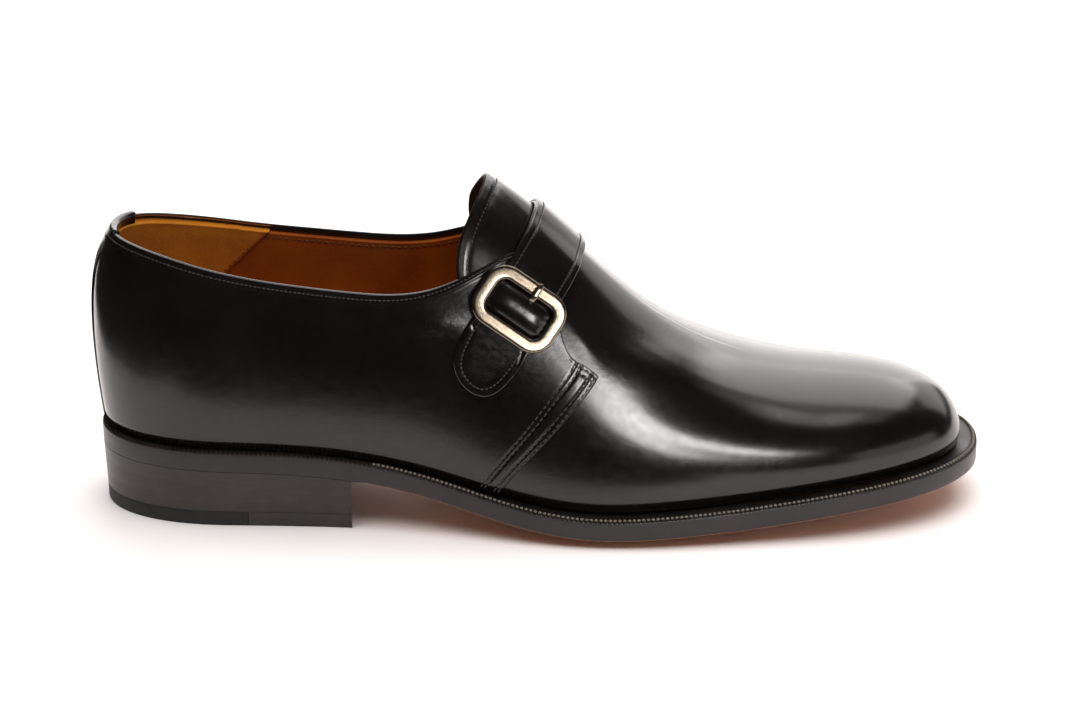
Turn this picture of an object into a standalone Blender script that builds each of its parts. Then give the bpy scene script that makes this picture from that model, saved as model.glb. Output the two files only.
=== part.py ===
"""A right monk-strap dress shoe: lasted upper, quarters, strap, buckle, welt, sole and stacked heel.

Lengths are in millimetres and become metres when a mesh is made. x runs from the heel to the toe,
y from the outer (lateral, negative) to the inner (medial, positive) side, and z up from the floor.
"""

import math

import bmesh
import bpy
import numpy as np
from mathutils import Vector

MM = 0.001
GAP = 0.3
LATERAL, MEDIAL = -1, 1
SIDES = {LATERAL: "lateral", MEDIAL: "medial"}

# The middle of the finished shoe's outline, which becomes the origin
MIDDLE_X, MIDDLE_Y = 150.1, 1.65

# The last: its length at the feather edge and the lengths over which its two ends turn round
TOE_TIP = 297.0
HEEL_ROUND, HEEL_POWER = 46.0, 2.25
TOE_ROUND, TOE_POWER = 92.0, 2.35
NOSE_ROUND, NOSE_POWER = 50.0, 2.18
HEEL_SHIFT_REACH = 120.0

# One row for each section: where it is, its half widths and ridge line at the feather edge, the heights of
# the feather edge and of the ridge, how far the wall bulges above the feather edge, and how square it is
SECTION_COLUMNS = ("x", "lateral", "medial", "ridge_y", "feather_z", "ridge_z", "bulge", "square")
SECTIONS = (
    (0.0, 31.5, 31.5, 0.0, 28.2, 158.0, 1.45, -0.80),
    (45.0, 32.0, 31.5, 0.0, 27.4, 152.0, 1.45, -0.80),
    (85.0, 32.8, 30.5, 0.0, 25.4, 140.0, 1.25, -0.40),
    (115.0, 36.0, 31.0, 0.0, 20.4, 126.0, 1.05, -0.05),
    (145.0, 42.5, 35.0, 0.0, 13.4, 107.5, 0.80, -0.10),
    (170.0, 47.0, 41.0, 1.0, 10.4, 84.5, 0.90, 0.00),
    (195.0, 48.0, 44.5, 3.0, 10.9, 63.4, 1.15, 0.20),
    (220.0, 46.5, 45.0, 5.0, 12.6, 51.9, 1.35, 0.40),
    (250.0, 46.5, 44.5, 7.0, 15.7, 46.3, 1.45, 0.50),
    (297.0, 46.5, 45.0, 9.0, 19.8, 48.9, 1.45, 0.50),
)

# The back of the heel: how far forward it lies at each height
BACK_COLUMNS = ("z", "x")
BACK_CURVE = (
    (28.0, 3.5), (42.0, 1.7), (56.0, 0.6), (68.0, 0.4),
    (80.0, 1.4), (90.0, 3.9), (98.0, 7.3), (106.0, 11.9),
)

# Wall thicknesses and the heights of the pieces on it, outwards from the last
SHELL_WALL = 2.0
QUARTER_IN, QUARTER_OUT = 0.4, 1.6
STRIP_IN, STRIP_OUT = 2.0, 2.8

# The back strip's half width, how much wider it is at the collar, and the share of its height where it flares
STRIP_HALF_WIDTH, STRIP_FLARE, STRIP_FLARE_FROM = 3.0, 6.0, 0.72
STRIP_STATION_LIMIT = 0.2

# The station that leaves half a gap between a quarter and the back seam
SEAM_STATION = 0.0004

# Rows of points close up towards the feather edge by this power
ROW_SPREAD = 1.35

# The collar's edge from the back to the strap, and the tongue's back edge from the collar to its peak
COLLAR_COLUMNS = ("x", "lateral", "medial")
COLLAR = (
    (-8.0, 96.8, 96.8), (8.0, 96.4, 95.6), (22.0, 94.4, 92.9), (38.0, 90.6, 90.2), (55.0, 86.9, 88.2),
    (72.0, 84.4, 86.9), (88.0, 82.7, 85.8), (105.0, 82.2, 85.4), (116.0, 84.0, 86.8), (125.0, 87.2, 89.4),
    (134.0, 91.2, 92.6), (141.0, 94.0, 94.5), (146.0, 95.0, 95.0),
)
TONGUE_COLUMNS = ("z", "x")
TONGUE_EDGE = ((87.0, 124.6), (94.0, 124.4), (101.0, 125.9), (107.0, 128.6), (113.0, 132.0), (117.0, 134.6))

# How far to each side the opening's cut keeps one side's outline
CUT_NEAR, CUT_FAR = 25.0, 90.0

# The quarter's front edge, from the feather edge up to its corner, and its top, from the strap to that corner
QUARTER_FRONT_COLUMNS = ("z", "x")
QUARTER_FRONT = ((9.0, 134.6), (17.6, 140.3), (27.2, 147.6), (37.2, 155.9), (47.2, 164.1), (55.7, 172.0))
QUARTER_TOP_COLUMNS = ("x", "z")
QUARTER_TOP = (
    (146.0, 95.0), (150.0, 91.0), (154.0, 83.5), (157.5, 75.0), (160.5, 66.0), (166.5, 59.6), (172.0, 55.7),
)

# The sole, from the welt down
WELT_THICK, OUTSOLE_THICK, INSOLE_THICK = 2.5, 4.5, 3.0
WELT_INSET = 3.0
EDGE_COLUMNS = ("x", "lateral", "medial")
SOLE_EDGE = (
    (0.0, 2.8, 2.8), (45.0, 2.9, 2.9), (90.0, 3.2, 2.8), (125.0, 4.4, 2.6), (160.0, 5.8, 4.2),
    (195.0, 6.2, 5.6), (240.0, 6.0, 5.8), (297.0, 5.6, 5.6),
)
FLAT_FROM, FLAT_TO, CROWN_END = 178.0, 206.0, 260.0
TREAD_COLUMNS = ("x", "z")
WAIST_TREAD = ((90.0, 16.8), (115.0, 11.9), (145.0, 4.9), (165.0, 1.0), (178.0, 0.0))
TOE_TREAD = ((206.0, 0.0), (220.0, 1.2), (250.0, 5.2), (297.0, 11.0))

# The heel
BREAST_X, BREAST_HOLLOW = 88.5, 5.0
TOP_PIECE_THICK = 5.0
RUBBER_LENGTH = 52.0
HEEL_TAPER = 1.1

# The strap lies across the instep between two planes that are square to this direction in the side view
STRAP_TILT = math.atan2(0.55, 0.835)
STRAP_NEAR, STRAP_FAR = 67.4, 89.2
STRAP_THICK = 2.2
STRAP_TIP_COLUMNS = ("across", "down")
STRAP_TIP = (
    (67.4, -130.0), (68.3, -123.2), (69.6, -119.4), (72.0, -116.5), (75.7, -114.4),
    (80.2, -113.6), (84.2, -114.5), (87.0, -117.2), (88.5, -121.2), (89.2, -127.0),
)
STRAP_MEDIAL_END = 1.46
STRAP_STATIONS, STRAP_OVER_FROM = (0.2, 0.72), 0.05
STRAP_ON_SHELL, STRAP_ON_QUARTER = 0.5, 2.0

# The buckle, in the strap's own directions: across it and down it
BUCKLE_ACROSS, BUCKLE_DOWN = 78.4, -144.0
BUCKLE_LONG, BUCKLE_SHORT, BUCKLE_CORNER = 31.0, 21.8, 7.8
BUCKLE_BAR_WIDE, BUCKLE_BAR_HIGH = 4.0, 2.4
BUCKLE_LIFT = 4.7
PIN_RADIUS, PIN_LIFT, PIN_SIDES = 1.0, 4.2, 10
STRAP_OVER_PIN = 5.6
PIN_BULGE_FROM, PIN_BULGE_TO = 1.0, 5.3
PRONG_RADIUS, PRONG_ACROSS = 0.6, 80.2
PRONG_COLUMNS = ("down", "lift")
PRONG_PATH = (
    (1.6, 3.2), (0.9, 2.6), (0.0, 2.35), (-1.1, 2.6), (-2.4, 3.6), (-3.6, 5.3),
    (-4.6, 7.1), (-6.4, 8.05), (-8.8, 8.1), (-10.8, 7.7),
)
PRONG_SLOT_DOWN, PRONG_SLOT_LONG, PRONG_SLOT_WIDE, PRONG_SLOT_DEEP = -3.9, 6.0, 2.6, 12.0


def spline(table, columns, name):
    """A natural cubic curve through one named column of a table, over its first column."""
    knots = np.array([row[0] for row in table], float)
    values = np.array([row[columns.index(name)] for row in table], float)
    count, step = len(knots), np.diff(knots)
    matrix, right = np.eye(count), np.zeros(count)
    for i in range(1, count - 1):
        matrix[i, i - 1 : i + 2] = step[i - 1], 2 * (step[i - 1] + step[i]), step[i]
        right[i] = 6 * ((values[i + 1] - values[i]) / step[i] - (values[i] - values[i - 1]) / step[i - 1])
    bend = np.linalg.solve(matrix, right)

    def value(at):
        at = np.clip(np.asarray(at, float), knots[0], knots[-1])
        i = np.clip(np.searchsorted(knots, at) - 1, 0, count - 2)
        ahead, behind, h = knots[i + 1] - at, at - knots[i], step[i]
        curved = (bend[i] * ahead**3 + bend[i + 1] * behind**3) / (6 * h)
        from_left = (values[i] / h - bend[i] * h / 6) * ahead
        from_right = (values[i + 1] / h - bend[i + 1] * h / 6) * behind
        return curved + from_left + from_right

    return value


SECTION = {name: spline(SECTIONS, SECTION_COLUMNS, name) for name in SECTION_COLUMNS[1:]}
back_x = spline(BACK_CURVE, BACK_COLUMNS, "x")
collar_z = {side: spline(COLLAR, COLLAR_COLUMNS, name) for side, name in SIDES.items()}
tongue_x = spline(TONGUE_EDGE, TONGUE_COLUMNS, "x")
quarter_front_x = spline(QUARTER_FRONT, QUARTER_FRONT_COLUMNS, "x")
quarter_top_z = spline(QUARTER_TOP, QUARTER_TOP_COLUMNS, "z")
sole_edge_width = {side: spline(SOLE_EDGE, EDGE_COLUMNS, name) for side, name in SIDES.items()}
waist_tread = spline(WAIST_TREAD, TREAD_COLUMNS, "z")
toe_tread = spline(TOE_TREAD, TREAD_COLUMNS, "z")
strap_tip_down = spline(STRAP_TIP, STRAP_TIP_COLUMNS, "down")


def smooth(low, high, at):
    """0 below low, 1 above high, and an S curve between."""
    share = np.clip((np.asarray(at, float) - low) / (high - low), 0, 1)
    return share * share * (3 - 2 * share)


def rounded(share, power):
    return (1 - np.clip(share, 0, 1) ** power) ** (1 / power)


def along_of(station):
    """Distance from the heel for a station from 0 to 1, with the stations closing up round both ends."""
    station = np.asarray(station, float)
    heel_share, toe_share = 0.22, 0.36
    heel = np.clip(station / heel_share, 0, 1) * math.pi / 2
    toe = np.clip((station - 1 + toe_share) / toe_share, 0, 1) * math.pi / 2
    side = np.clip((station - heel_share) / (1 - heel_share - toe_share), 0, 1)
    heel_part = HEEL_ROUND * (1 - np.cos(heel) ** (2 / HEEL_POWER))
    toe_part = TOE_ROUND * np.sin(toe) ** (2 / TOE_POWER)
    return heel_part + side * (TOE_TIP - TOE_ROUND - HEEL_ROUND) + toe_part


def last_at(along, over):
    """The last's surface. over runs from 0 at the lateral feather edge over the ridge at 1 to 2, medial."""
    along, over = np.broadcast_arrays(np.asarray(along, float), np.asarray(over, float))
    out = 1 - over
    up = 1 - out * out
    feather = SECTION["feather_z"](along)
    nose = rounded((along - TOE_TIP + NOSE_ROUND) / NOSE_ROUND, NOSE_POWER)
    z = feather + up * (SECTION["ridge_z"](along) - feather) * nose
    medial = smooth(0.5, 1.5, over)
    half = SECTION["lateral"](along) * (1 - medial) + SECTION["medial"](along) * medial
    heel = rounded(1 - along / HEEL_ROUND, HEEL_POWER)
    toe = rounded((along - TOE_TIP + TOE_ROUND) / TOE_ROUND, TOE_POWER)
    girth = np.sqrt(np.clip(1 + SECTION["bulge"](along) * up + SECTION["square"](along) * up * up, 0, None))
    y = SECTION["ridge_y"](along) - half * heel * toe * out * girth
    fade = np.clip(1 - along / HEEL_SHIFT_REACH, 0, 1) ** 2
    return np.stack([along + back_x(z) * fade, y, z], -1)


def at_station(station, over):
    """The last at a station. Past either end it carries on along the other side."""
    station, over = np.broadcast_arrays(np.asarray(station, float), np.asarray(over, float))
    past = (station < 0) | (station > 1)
    inside = np.where(station > 1, 2 - station, np.abs(station))
    return last_at(along_of(inside), np.where(past, 2 - over, over))


def lifted(station, over, height):
    """A point at a height above the last's surface."""
    step = 1e-4
    station, over, height = np.broadcast_arrays(*(np.asarray(v, float) for v in (station, over, height)))
    along = at_station(station + step, over) - at_station(station - step, over)
    across = at_station(station, over + step) - at_station(station, over - step)
    normal = np.cross(along, across)
    length = np.linalg.norm(normal, axis=-1, keepdims=True)
    tip = np.array([1.0, 0.0, 0.0])
    at_tip = (station[..., None] > 0.9995) | (length < 1e-12)
    normal = np.where(at_tip, tip, normal / np.maximum(length, 1e-12))
    return at_station(station, over) + normal * height[..., None]


def solve(goal, low, high, steps=48):
    """Where goal(x), which rises from low to high, passes zero, by halving."""
    low, high = np.array(low, float), np.array(high, float)
    for _ in range(steps):
        middle = (low + high) / 2
        below = goal(middle) < 0
        low, high = np.where(below, middle, low), np.where(below, high, middle)
    return (low + high) / 2


def station_of(x, z_share):
    """The station whose section at that share of the way over lies at x."""
    x, z_share = np.broadcast_arrays(np.asarray(x, float), np.asarray(z_share, float))
    return solve(lambda s: at_station(s, z_share)[..., 0] - x, np.zeros(x.shape), np.ones(x.shape))


def over_of(station, z, side):
    """How far over a station's section reaches a height, on one side."""
    station, z = np.broadcast_arrays(np.asarray(station, float), np.asarray(z, float))
    over = solve(lambda v: at_station(station, v)[..., 2] - z, np.zeros(z.shape), np.ones(z.shape))
    return over if side == LATERAL else 2 - over


def at_side_view(x, z, side, rounds=6):
    """The station and the share over for a point of the side view."""
    x, z = np.broadcast_arrays(np.asarray(x, float), np.asarray(z, float))
    over = np.full(x.shape, 0.5)
    for _ in range(rounds):
        station = station_of(x, over)
        over = over_of(station, z, LATERAL)
    return station, over if side == LATERAL else 2 - over


def new_object(name, bm, material, smooth_angle=40.0):
    """Finishes a mesh: welded, in metres about the origin, faces outwards, smooth where it is round."""
    bmesh.ops.remove_doubles(bm, verts=bm.verts, dist=1e-4)
    bmesh.ops.dissolve_degenerate(bm, edges=bm.edges, dist=1e-4)
    for vert in bm.verts:
        vert.co = Vector((vert.co.x - MIDDLE_X, vert.co.y - MIDDLE_Y, vert.co.z)) * MM
    bmesh.ops.recalc_face_normals(bm, faces=bm.faces)
    mesh = bpy.data.meshes.new(name)
    bm.to_mesh(mesh)
    bm.free()
    mesh.materials.append(material)
    mesh.shade_smooth()
    mesh.set_sharp_from_angle(angle=math.radians(smooth_angle))
    obj = bpy.data.objects.new(name, mesh)
    SHOE.objects.link(obj)
    return obj


def add_grid(bm, points):
    """Quads over a grid of points, and the grid of their vertices."""
    verts = [[bm.verts.new(p) for p in row] for row in points]
    for upper, lower in zip(verts, verts[1:]):
        for i in range(len(upper) - 1):
            bm.faces.new((upper[i], upper[i + 1], lower[i + 1], lower[i]))
    return verts


def bridge(bm, first, second):
    """Quads between two rows of vertices."""
    for i in range(len(first) - 1):
        bm.faces.new((first[i], first[i + 1], second[i + 1], second[i]))


def slab(bm, outside, inside):
    """A closed slab between two grids of points."""
    top, bottom = add_grid(bm, outside), add_grid(bm, inside)
    bridge(bm, top[0], bottom[0])
    bridge(bm, top[-1], bottom[-1])
    bridge(bm, [row[0] for row in top], [row[0] for row in bottom])
    bridge(bm, [row[-1] for row in top], [row[-1] for row in bottom])


def boolean(target, cutter, operation="DIFFERENCE"):
    modifier = target.modifiers.new(cutter.name, "BOOLEAN")
    modifier.object = cutter
    modifier.operation = operation
    cutter.hide_render = True
    cutter.display_type = "WIRE"
    SHOE.objects.unlink(cutter)
    CUTTERS.objects.link(cutter)


def loft(name, sections):
    """A cutter through outlines of the side view, each at its own y."""
    bm = bmesh.new()
    rings = [[bm.verts.new((x, y, z)) for x, z in outline] for y, outline in sections]
    bm.faces.new(rings[0])
    bm.faces.new(rings[-1])
    for first, second in zip(rings, rings[1:]):
        bridge(bm, first + first[:1], second + second[:1])
    return new_object(name, bm, MATERIALS["black_calf"])


def make_upper():
    """The vamp, tongue and lining as one wall, open underneath, at the collar and behind the tongue."""
    stations, rise = np.linspace(0, 1, 47), np.linspace(0, 1, 15) ** ROW_SPREAD
    rows = np.concatenate([rise, 2 - rise[-2::-1]])
    across, along = np.meshgrid(rows, stations)
    bm = bmesh.new()
    outer = add_grid(bm, lifted(along, across, 0.0))
    inner = add_grid(bm, lifted(along, across, -SHELL_WALL))
    for edge in (0, -1):
        bridge(bm, [row[edge] for row in outer], [row[edge] for row in inner])
    upper = new_object("upper", bm, MATERIALS["black_calf"])
    sections = []
    for side in (LATERAL, MEDIAL):
        outline = opening_outline(side)
        places = sorted((side * CUT_NEAR, side * CUT_FAR))
        sections += [(y, outline) for y in places]
    boolean(upper, loft("collar_cutter", sections))


def opening_outline(side, above=175.0, behind=-30.0):
    """What is cut from the shell in the side view: above the collar and behind the tongue."""
    notch_x = TONGUE_EDGE[0][1]
    notch_z = float(collar_z[side](notch_x))
    collar = [(x, float(collar_z[side](x))) for x in np.linspace(behind, notch_x, 26)]
    tongue = [(float(tongue_x(z)), z) for z in np.linspace(notch_z, TONGUE_EDGE[-1][0], 9)[1:]]
    return collar + tongue + [(tongue[-1][0] + 2.0, above), (behind, above)]


def collar_over(station, side):
    """How far over a station's section reaches the collar's edge, counted from its own side."""
    along = along_of(station)
    fade = np.clip(1 - along / HEEL_SHIFT_REACH, 0, 1) ** 2
    x = along + back_x(collar_z[side](along)) * fade
    return over_of(station, collar_z[side](x), LATERAL)


def quarter_grid(side, front_columns, back_columns, rows):
    """Stations and shares over of one quarter, from its front edge to the back seam, feather edge to top."""
    top_x = np.linspace(QUARTER_TOP[-1][0], QUARTER_TOP[0][0], front_columns)
    front_station, front_over = at_side_view(top_x, quarter_top_z(top_x), LATERAL)
    back_station = np.linspace(front_station[-1], SEAM_STATION, back_columns + 1)[1:]
    top_station = np.concatenate([front_station, back_station])
    top_over = np.concatenate([front_over, collar_over(back_station, side)])
    share = (np.linspace(0, 1, rows) ** ROW_SPREAD)[:, None]
    over = top_over * share
    foot = float(station_of(quarter_front_x(SECTION["feather_z"](QUARTER_FRONT[0][1])), 0.0))
    behind = (top_station[0] - top_station) / (top_station[0] - SEAM_STATION)
    foot_station = foot + (SEAM_STATION - foot) * behind
    station = foot_station + (top_station - foot_station) * share
    front_z = at_station(station[:, 0], over[:, 0])[:, 2]
    wanted = station_of(quarter_front_x(front_z), over[:, 0])
    fade = np.clip(1 - np.arange(top_station.size) / front_columns, 0, 1)
    station = station + (wanted - station[:, 0])[:, None] * fade
    return station, over if side == LATERAL else 2 - over


def make_quarter(name, side):
    """A back panel laid over the shell, from its stitched front edge to the back seam."""
    station, over = quarter_grid(side, 8, 20, 9)
    bm = bmesh.new()
    slab(bm, lifted(station, over, QUARTER_OUT), lifted(station, over, QUARTER_IN))
    new_object(name, bm, MATERIALS["black_calf"])


def plate(bm, levels, end_along, hollow=0.0, start_along=0.0, columns=40, across=7):
    """A closed plate in the sole's outline: levels of (edge widths, height) from the bottom up."""
    shares = np.linspace(-1, 1, across)
    grids = []
    for widths, height in levels:
        ends = end_along - hollow * (1 - shares**2)
        station_end = np.array([float(solve(lambda s: along_of(s) - e, 0.0, 1.0)) for e in ends])
        station_start = float(solve(lambda s: along_of(s) - start_along, 0.0, 1.0)) if start_along else 0.0
        station = station_start + (station_end - station_start)[None, :] * np.linspace(0, 1, columns)[:, None]
        low, high = sole_outline(station, LATERAL, widths), sole_outline(station, MEDIAL, widths)
        points = low + (high - low) * ((shares + 1) / 2)[None, :, None]
        grid = np.concatenate([points, height(points[..., 0], shares)[..., None]], -1)
        grids.append(grid)
    bottom, top = add_grid(bm, grids[0]), add_grid(bm, grids[-1])

    def rim(grid):
        right, left = [row[-1] for row in grid[1:]], [row[0] for row in grid[-2:0:-1]]
        return [*grid[0], *right, *grid[-1][-2::-1], *left]

    rings = [rim(bottom)]
    for grid in grids[1:-1]:
        rings.append([bm.verts.new(p) for p in rim(grid.tolist())])
    rings.append(rim(top))
    for lower, upper in zip(rings, rings[1:]):
        bridge(bm, lower + lower[:1], upper + upper[:1])


def sole_outline(station, side, widths):
    """The feather edge's outline moved outwards by a width that depends on x and side."""
    step = 1e-4
    over = 0.0 if side == LATERAL else 2.0
    here = at_station(station, over)[..., :2]
    tangent = (at_station(station + step, over) - at_station(station - step, over))[..., :2]
    normal = np.stack([tangent[..., 1], -tangent[..., 0]], -1) * -side
    normal /= np.maximum(np.linalg.norm(normal, axis=-1, keepdims=True), 1e-12)
    ahead = np.array([1.0, 0.0])
    normal = np.where((station > 0.9999)[..., None], ahead, normal)
    normal = np.where((station < 0.0001)[..., None], -ahead, normal)
    return here + normal * widths(here[..., 0], side)[..., None]


def edge_width(less=0.0):
    return lambda x, side: sole_edge_width[side](x) - less


def inset(width):
    return lambda x, side: np.full(np.shape(x), -width)


def welt_top(x):
    return SECTION["feather_z"](x) - GAP


def outsole_top(x):
    return welt_top(x) - WELT_THICK - GAP


def outsole_edge_bottom(x):
    return outsole_top(x) - OUTSOLE_THICK


def tread(x, shares):
    """The outsole's underside: flat on the floor at the ball, and lifted towards its edges."""
    middle = np.where(x < FLAT_TO, waist_tread(x), toe_tread(x))
    middle = np.where((x > FLAT_FROM) & (x < FLAT_TO), 0.0, middle)
    edge = outsole_edge_bottom(x)
    middle = np.where(x < WAIST_TREAD[0][0], edge, np.minimum(middle, edge))
    flat = (1 - smooth(0.45, 1.0, np.abs(shares))) * (1 - smooth(CROWN_END, TOE_TIP, x))
    return edge + (middle - edge) * flat


def level(z):
    return lambda x, shares: np.full(np.shape(x), z)


def curve_level(function):
    return lambda x, shares: function(x) + 0.0 * shares


def make_welt():
    """The strip round the feather edge, under the upper's foot and out to the sole's edge."""
    station = np.linspace(0, 1, 45)
    bm = bmesh.new()
    loops = []
    for widths, drop in (
        (inset(WELT_INSET), 0.0), (edge_width(0.8), 0.0), (edge_width(), 0.7),
        (edge_width(), WELT_THICK - 0.3), (edge_width(0.3), WELT_THICK), (inset(WELT_INSET), WELT_THICK),
    ):
        lateral = sole_outline(station, LATERAL, widths)
        medial = sole_outline(station, MEDIAL, widths)[::-1]
        outline = np.concatenate([lateral[:-1], medial[:-1]])
        loops.append([bm.verts.new((x, y, float(welt_top(x)) - drop)) for x, y in outline])
    for first, second in zip(loops, loops[1:] + loops[:1]):
        bridge(bm, first + first[:1], second + second[:1])
    new_object("welt", bm, MATERIALS["black_edge"])


def make_outsole():
    bm = bmesh.new()
    plate(bm, (
        (edge_width(1.4), tread),
        (edge_width(0.0), curve_level(lambda x: outsole_edge_bottom(x) + 1.0)),
        (edge_width(0.0), curve_level(lambda x: outsole_top(x) - 0.4)),
        (edge_width(0.4), curve_level(outsole_top)),
    ), TOE_TIP, columns=36, across=7)
    new_object("outsole", bm, MATERIALS["tan_sole"])


def make_insole():
    """A board that fits inside the welt below and against the upper's wall above."""
    wall = SHELL_WALL + GAP + 0.1
    rib = WELT_INSET + GAP
    bm = bmesh.new()
    plate(bm, (
        (inset(rib), curve_level(lambda x: outsole_top(x) + GAP)),
        (inset(rib), curve_level(lambda x: SECTION["feather_z"](x) + GAP)),
        (inset(wall), curve_level(lambda x: SECTION["feather_z"](x) + GAP)),
        (inset(wall), curve_level(lambda x: SECTION["feather_z"](x) + INSOLE_THICK)),
    ), TOE_TIP, columns=30, across=5)
    new_object("insole", bm, MATERIALS["tan_lining"])


def make_heel():
    """The stacked heel, and under it the last lift, leather in front and rubber at the back."""
    bm = bmesh.new()
    plate(bm, (
        (edge_width(HEEL_TAPER), level(TOP_PIECE_THICK + GAP)),
        (edge_width(0.2), curve_level(lambda x: outsole_edge_bottom(x) - GAP)),
    ), BREAST_X, BREAST_HOLLOW, columns=16)
    new_object("heel_stack", bm, MATERIALS["heel_leather"])
    bm = bmesh.new()
    plate(bm, (
        (edge_width(HEEL_TAPER + 0.2), level(0.0)),
        (edge_width(HEEL_TAPER), level(TOP_PIECE_THICK)),
    ), BREAST_X, BREAST_HOLLOW, RUBBER_LENGTH + GAP, columns=7)
    new_object("heel_top_piece", bm, MATERIALS["heel_leather"])
    bm = bmesh.new()
    plate(bm, (
        (edge_width(HEEL_TAPER + 0.2), level(0.0)),
        (edge_width(HEEL_TAPER), level(TOP_PIECE_THICK)),
    ), RUBBER_LENGTH, columns=14)
    new_object("heel_rubber_tip", bm, MATERIALS["heel_rubber"])


def make_back_strip():
    """The strip over the back seam, narrow below and flared to the collar."""
    rows, columns = np.linspace(0, 1, 12), np.linspace(-1, 1, 7)
    low_z, high_z = SECTION["feather_z"](0.0) + 0.6, float(collar_z[LATERAL](back_x(COLLAR[0][1]))) - 0.2
    z = low_z + (high_z - low_z) * rows
    half = STRIP_HALF_WIDTH + STRIP_FLARE * smooth(STRIP_FLARE_FROM, 1.0, rows)
    over = over_of(0.0, z, LATERAL)
    reach = np.full(rows.shape, STRIP_STATION_LIMIT)
    width = solve(lambda s: -at_station(s, over)[..., 1] - half, np.zeros(rows.shape), reach)
    station = np.abs(columns)[None, :] * width[:, None]
    over = np.where(columns[None, :] < 0, over[:, None], 2 - over[:, None])
    bm = bmesh.new()
    slab(bm, lifted(station, over, STRIP_OUT), lifted(station, over, STRIP_IN))
    new_object("back_strip", bm, MATERIALS["black_calf"])


def strap_direction():
    """Unit vectors of the side view, as (x, z): across the strap towards the toe, and down it."""
    across = np.array([math.cos(STRAP_TILT), -math.sin(STRAP_TILT)])
    down = np.array([-math.sin(STRAP_TILT), -math.cos(STRAP_TILT)])
    return across, down


def strap_station(across_at, over):
    """The station where a line along the strap meets a share over."""
    across, _ = strap_direction()
    low, high = (np.full(np.shape(over), station) for station in STRAP_STATIONS)
    return solve(lambda s: at_station(s, over)[..., [0, 2]] @ across - across_at, low, high)


def strap_over(across_at, down_at):
    """How far over the lateral side a point in the strap's own directions lies."""
    _, down = strap_direction()

    def depth(over):
        return down_at - at_station(strap_station(across_at, over), over)[..., [0, 2]] @ down

    return float(solve(depth, STRAP_OVER_FROM, 1.0))


def strap_point(across_at, down_at, lift):
    """A lateral point in the strap's own directions, at a height above the last."""
    over = strap_over(across_at, down_at)
    return lifted(strap_station(across_at, over), over, lift)


def strap_lift(station, over):
    """How high the strap's underside lies: on the shell at the instep, on the quarters, and over the pin."""
    _, down = strap_direction()
    on_quarter = np.maximum(1 - smooth(0.70, 0.86, over), smooth(1.22, 1.36, over))
    base = STRAP_ON_SHELL + (STRAP_ON_QUARTER - STRAP_ON_SHELL) * on_quarter
    below = at_station(station, over)[..., [0, 2]] @ down - BUCKLE_DOWN
    near = np.where(over < 1, 1 - smooth(PIN_BULGE_FROM, PIN_BULGE_TO, np.abs(below)), 0.0)
    return base + (STRAP_OVER_PIN - base) * near


def make_strap():
    """The strap from its stitched medial end over the instep, under and over the buckle, to its tip."""
    columns = np.linspace(STRAP_NEAR, STRAP_FAR, 7)
    over = []
    for across_at in columns:
        downs = (strap_tip_down(across_at), BUCKLE_DOWN + PIN_BULGE_TO, BUCKLE_DOWN - PIN_BULGE_TO)
        tip, below, above = (strap_over(across_at, down) for down in downs)
        stretches = ((tip, below, 7), (below, above, 16), (above, STRAP_MEDIAL_END, 16))
        parts = [np.linspace(start, end, rows, endpoint=False) for start, end, rows in stretches]
        over.append(np.concatenate([*parts, [STRAP_MEDIAL_END]]))
    over = np.array(over).T
    station = strap_station(columns[None, :], over)
    under = strap_lift(station, over)
    bm = bmesh.new()
    slab(bm, lifted(station, over, under + STRAP_THICK), lifted(station, over, under))
    strap = new_object("strap", bm, MATERIALS["black_calf"])
    place = buckle_frame_axes()
    bm = bmesh.new()
    bmesh.ops.create_cube(bm, size=1.0)
    for vert in bm.verts:
        across = vert.co.x * PRONG_SLOT_WIDE + PRONG_ACROSS - BUCKLE_ACROSS
        down = vert.co.y * PRONG_SLOT_LONG + PRONG_SLOT_DOWN
        vert.co = place(across, down, (vert.co.z + 0.5) * PRONG_SLOT_DEEP)
    boolean(strap, new_object("prong_slot", bm, MATERIALS["black_calf"]))


def buckle_frame_axes():
    """A function from (across, down, lift) about the buckle's centre to a point of the shoe."""
    reach = 8.0

    def near(across, down):
        return strap_point(BUCKLE_ACROSS + across * reach, BUCKLE_DOWN + down * reach, 0.0)

    centre, across, down = near(0, 0), near(1, 0) - near(-1, 0), near(0, 1) - near(0, -1)
    across = across / np.linalg.norm(across)
    lift = np.cross(across, down)
    lift = lift / np.linalg.norm(lift)
    lift = lift if lift[1] < 0 else -lift
    down = np.cross(lift, across)
    down = down if down[2] < 0 else -down
    return lambda a, d, h: centre + across * a + down * d + lift * h


def rounded_rectangle(long, short, corner, per_corner=7):
    """Points round a rectangle with round corners."""
    points = []
    for sx, sy, start in ((1, 1, 0), (-1, 1, 90), (-1, -1, 180), (1, -1, 270)):
        for k in range(per_corner):
            angle = math.radians(start + 90 * k / (per_corner - 1))
            points.append((
                sx * (long / 2 - corner) + corner * math.cos(angle),
                sy * (short / 2 - corner) + corner * math.sin(angle),
            ))
    return points


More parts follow.
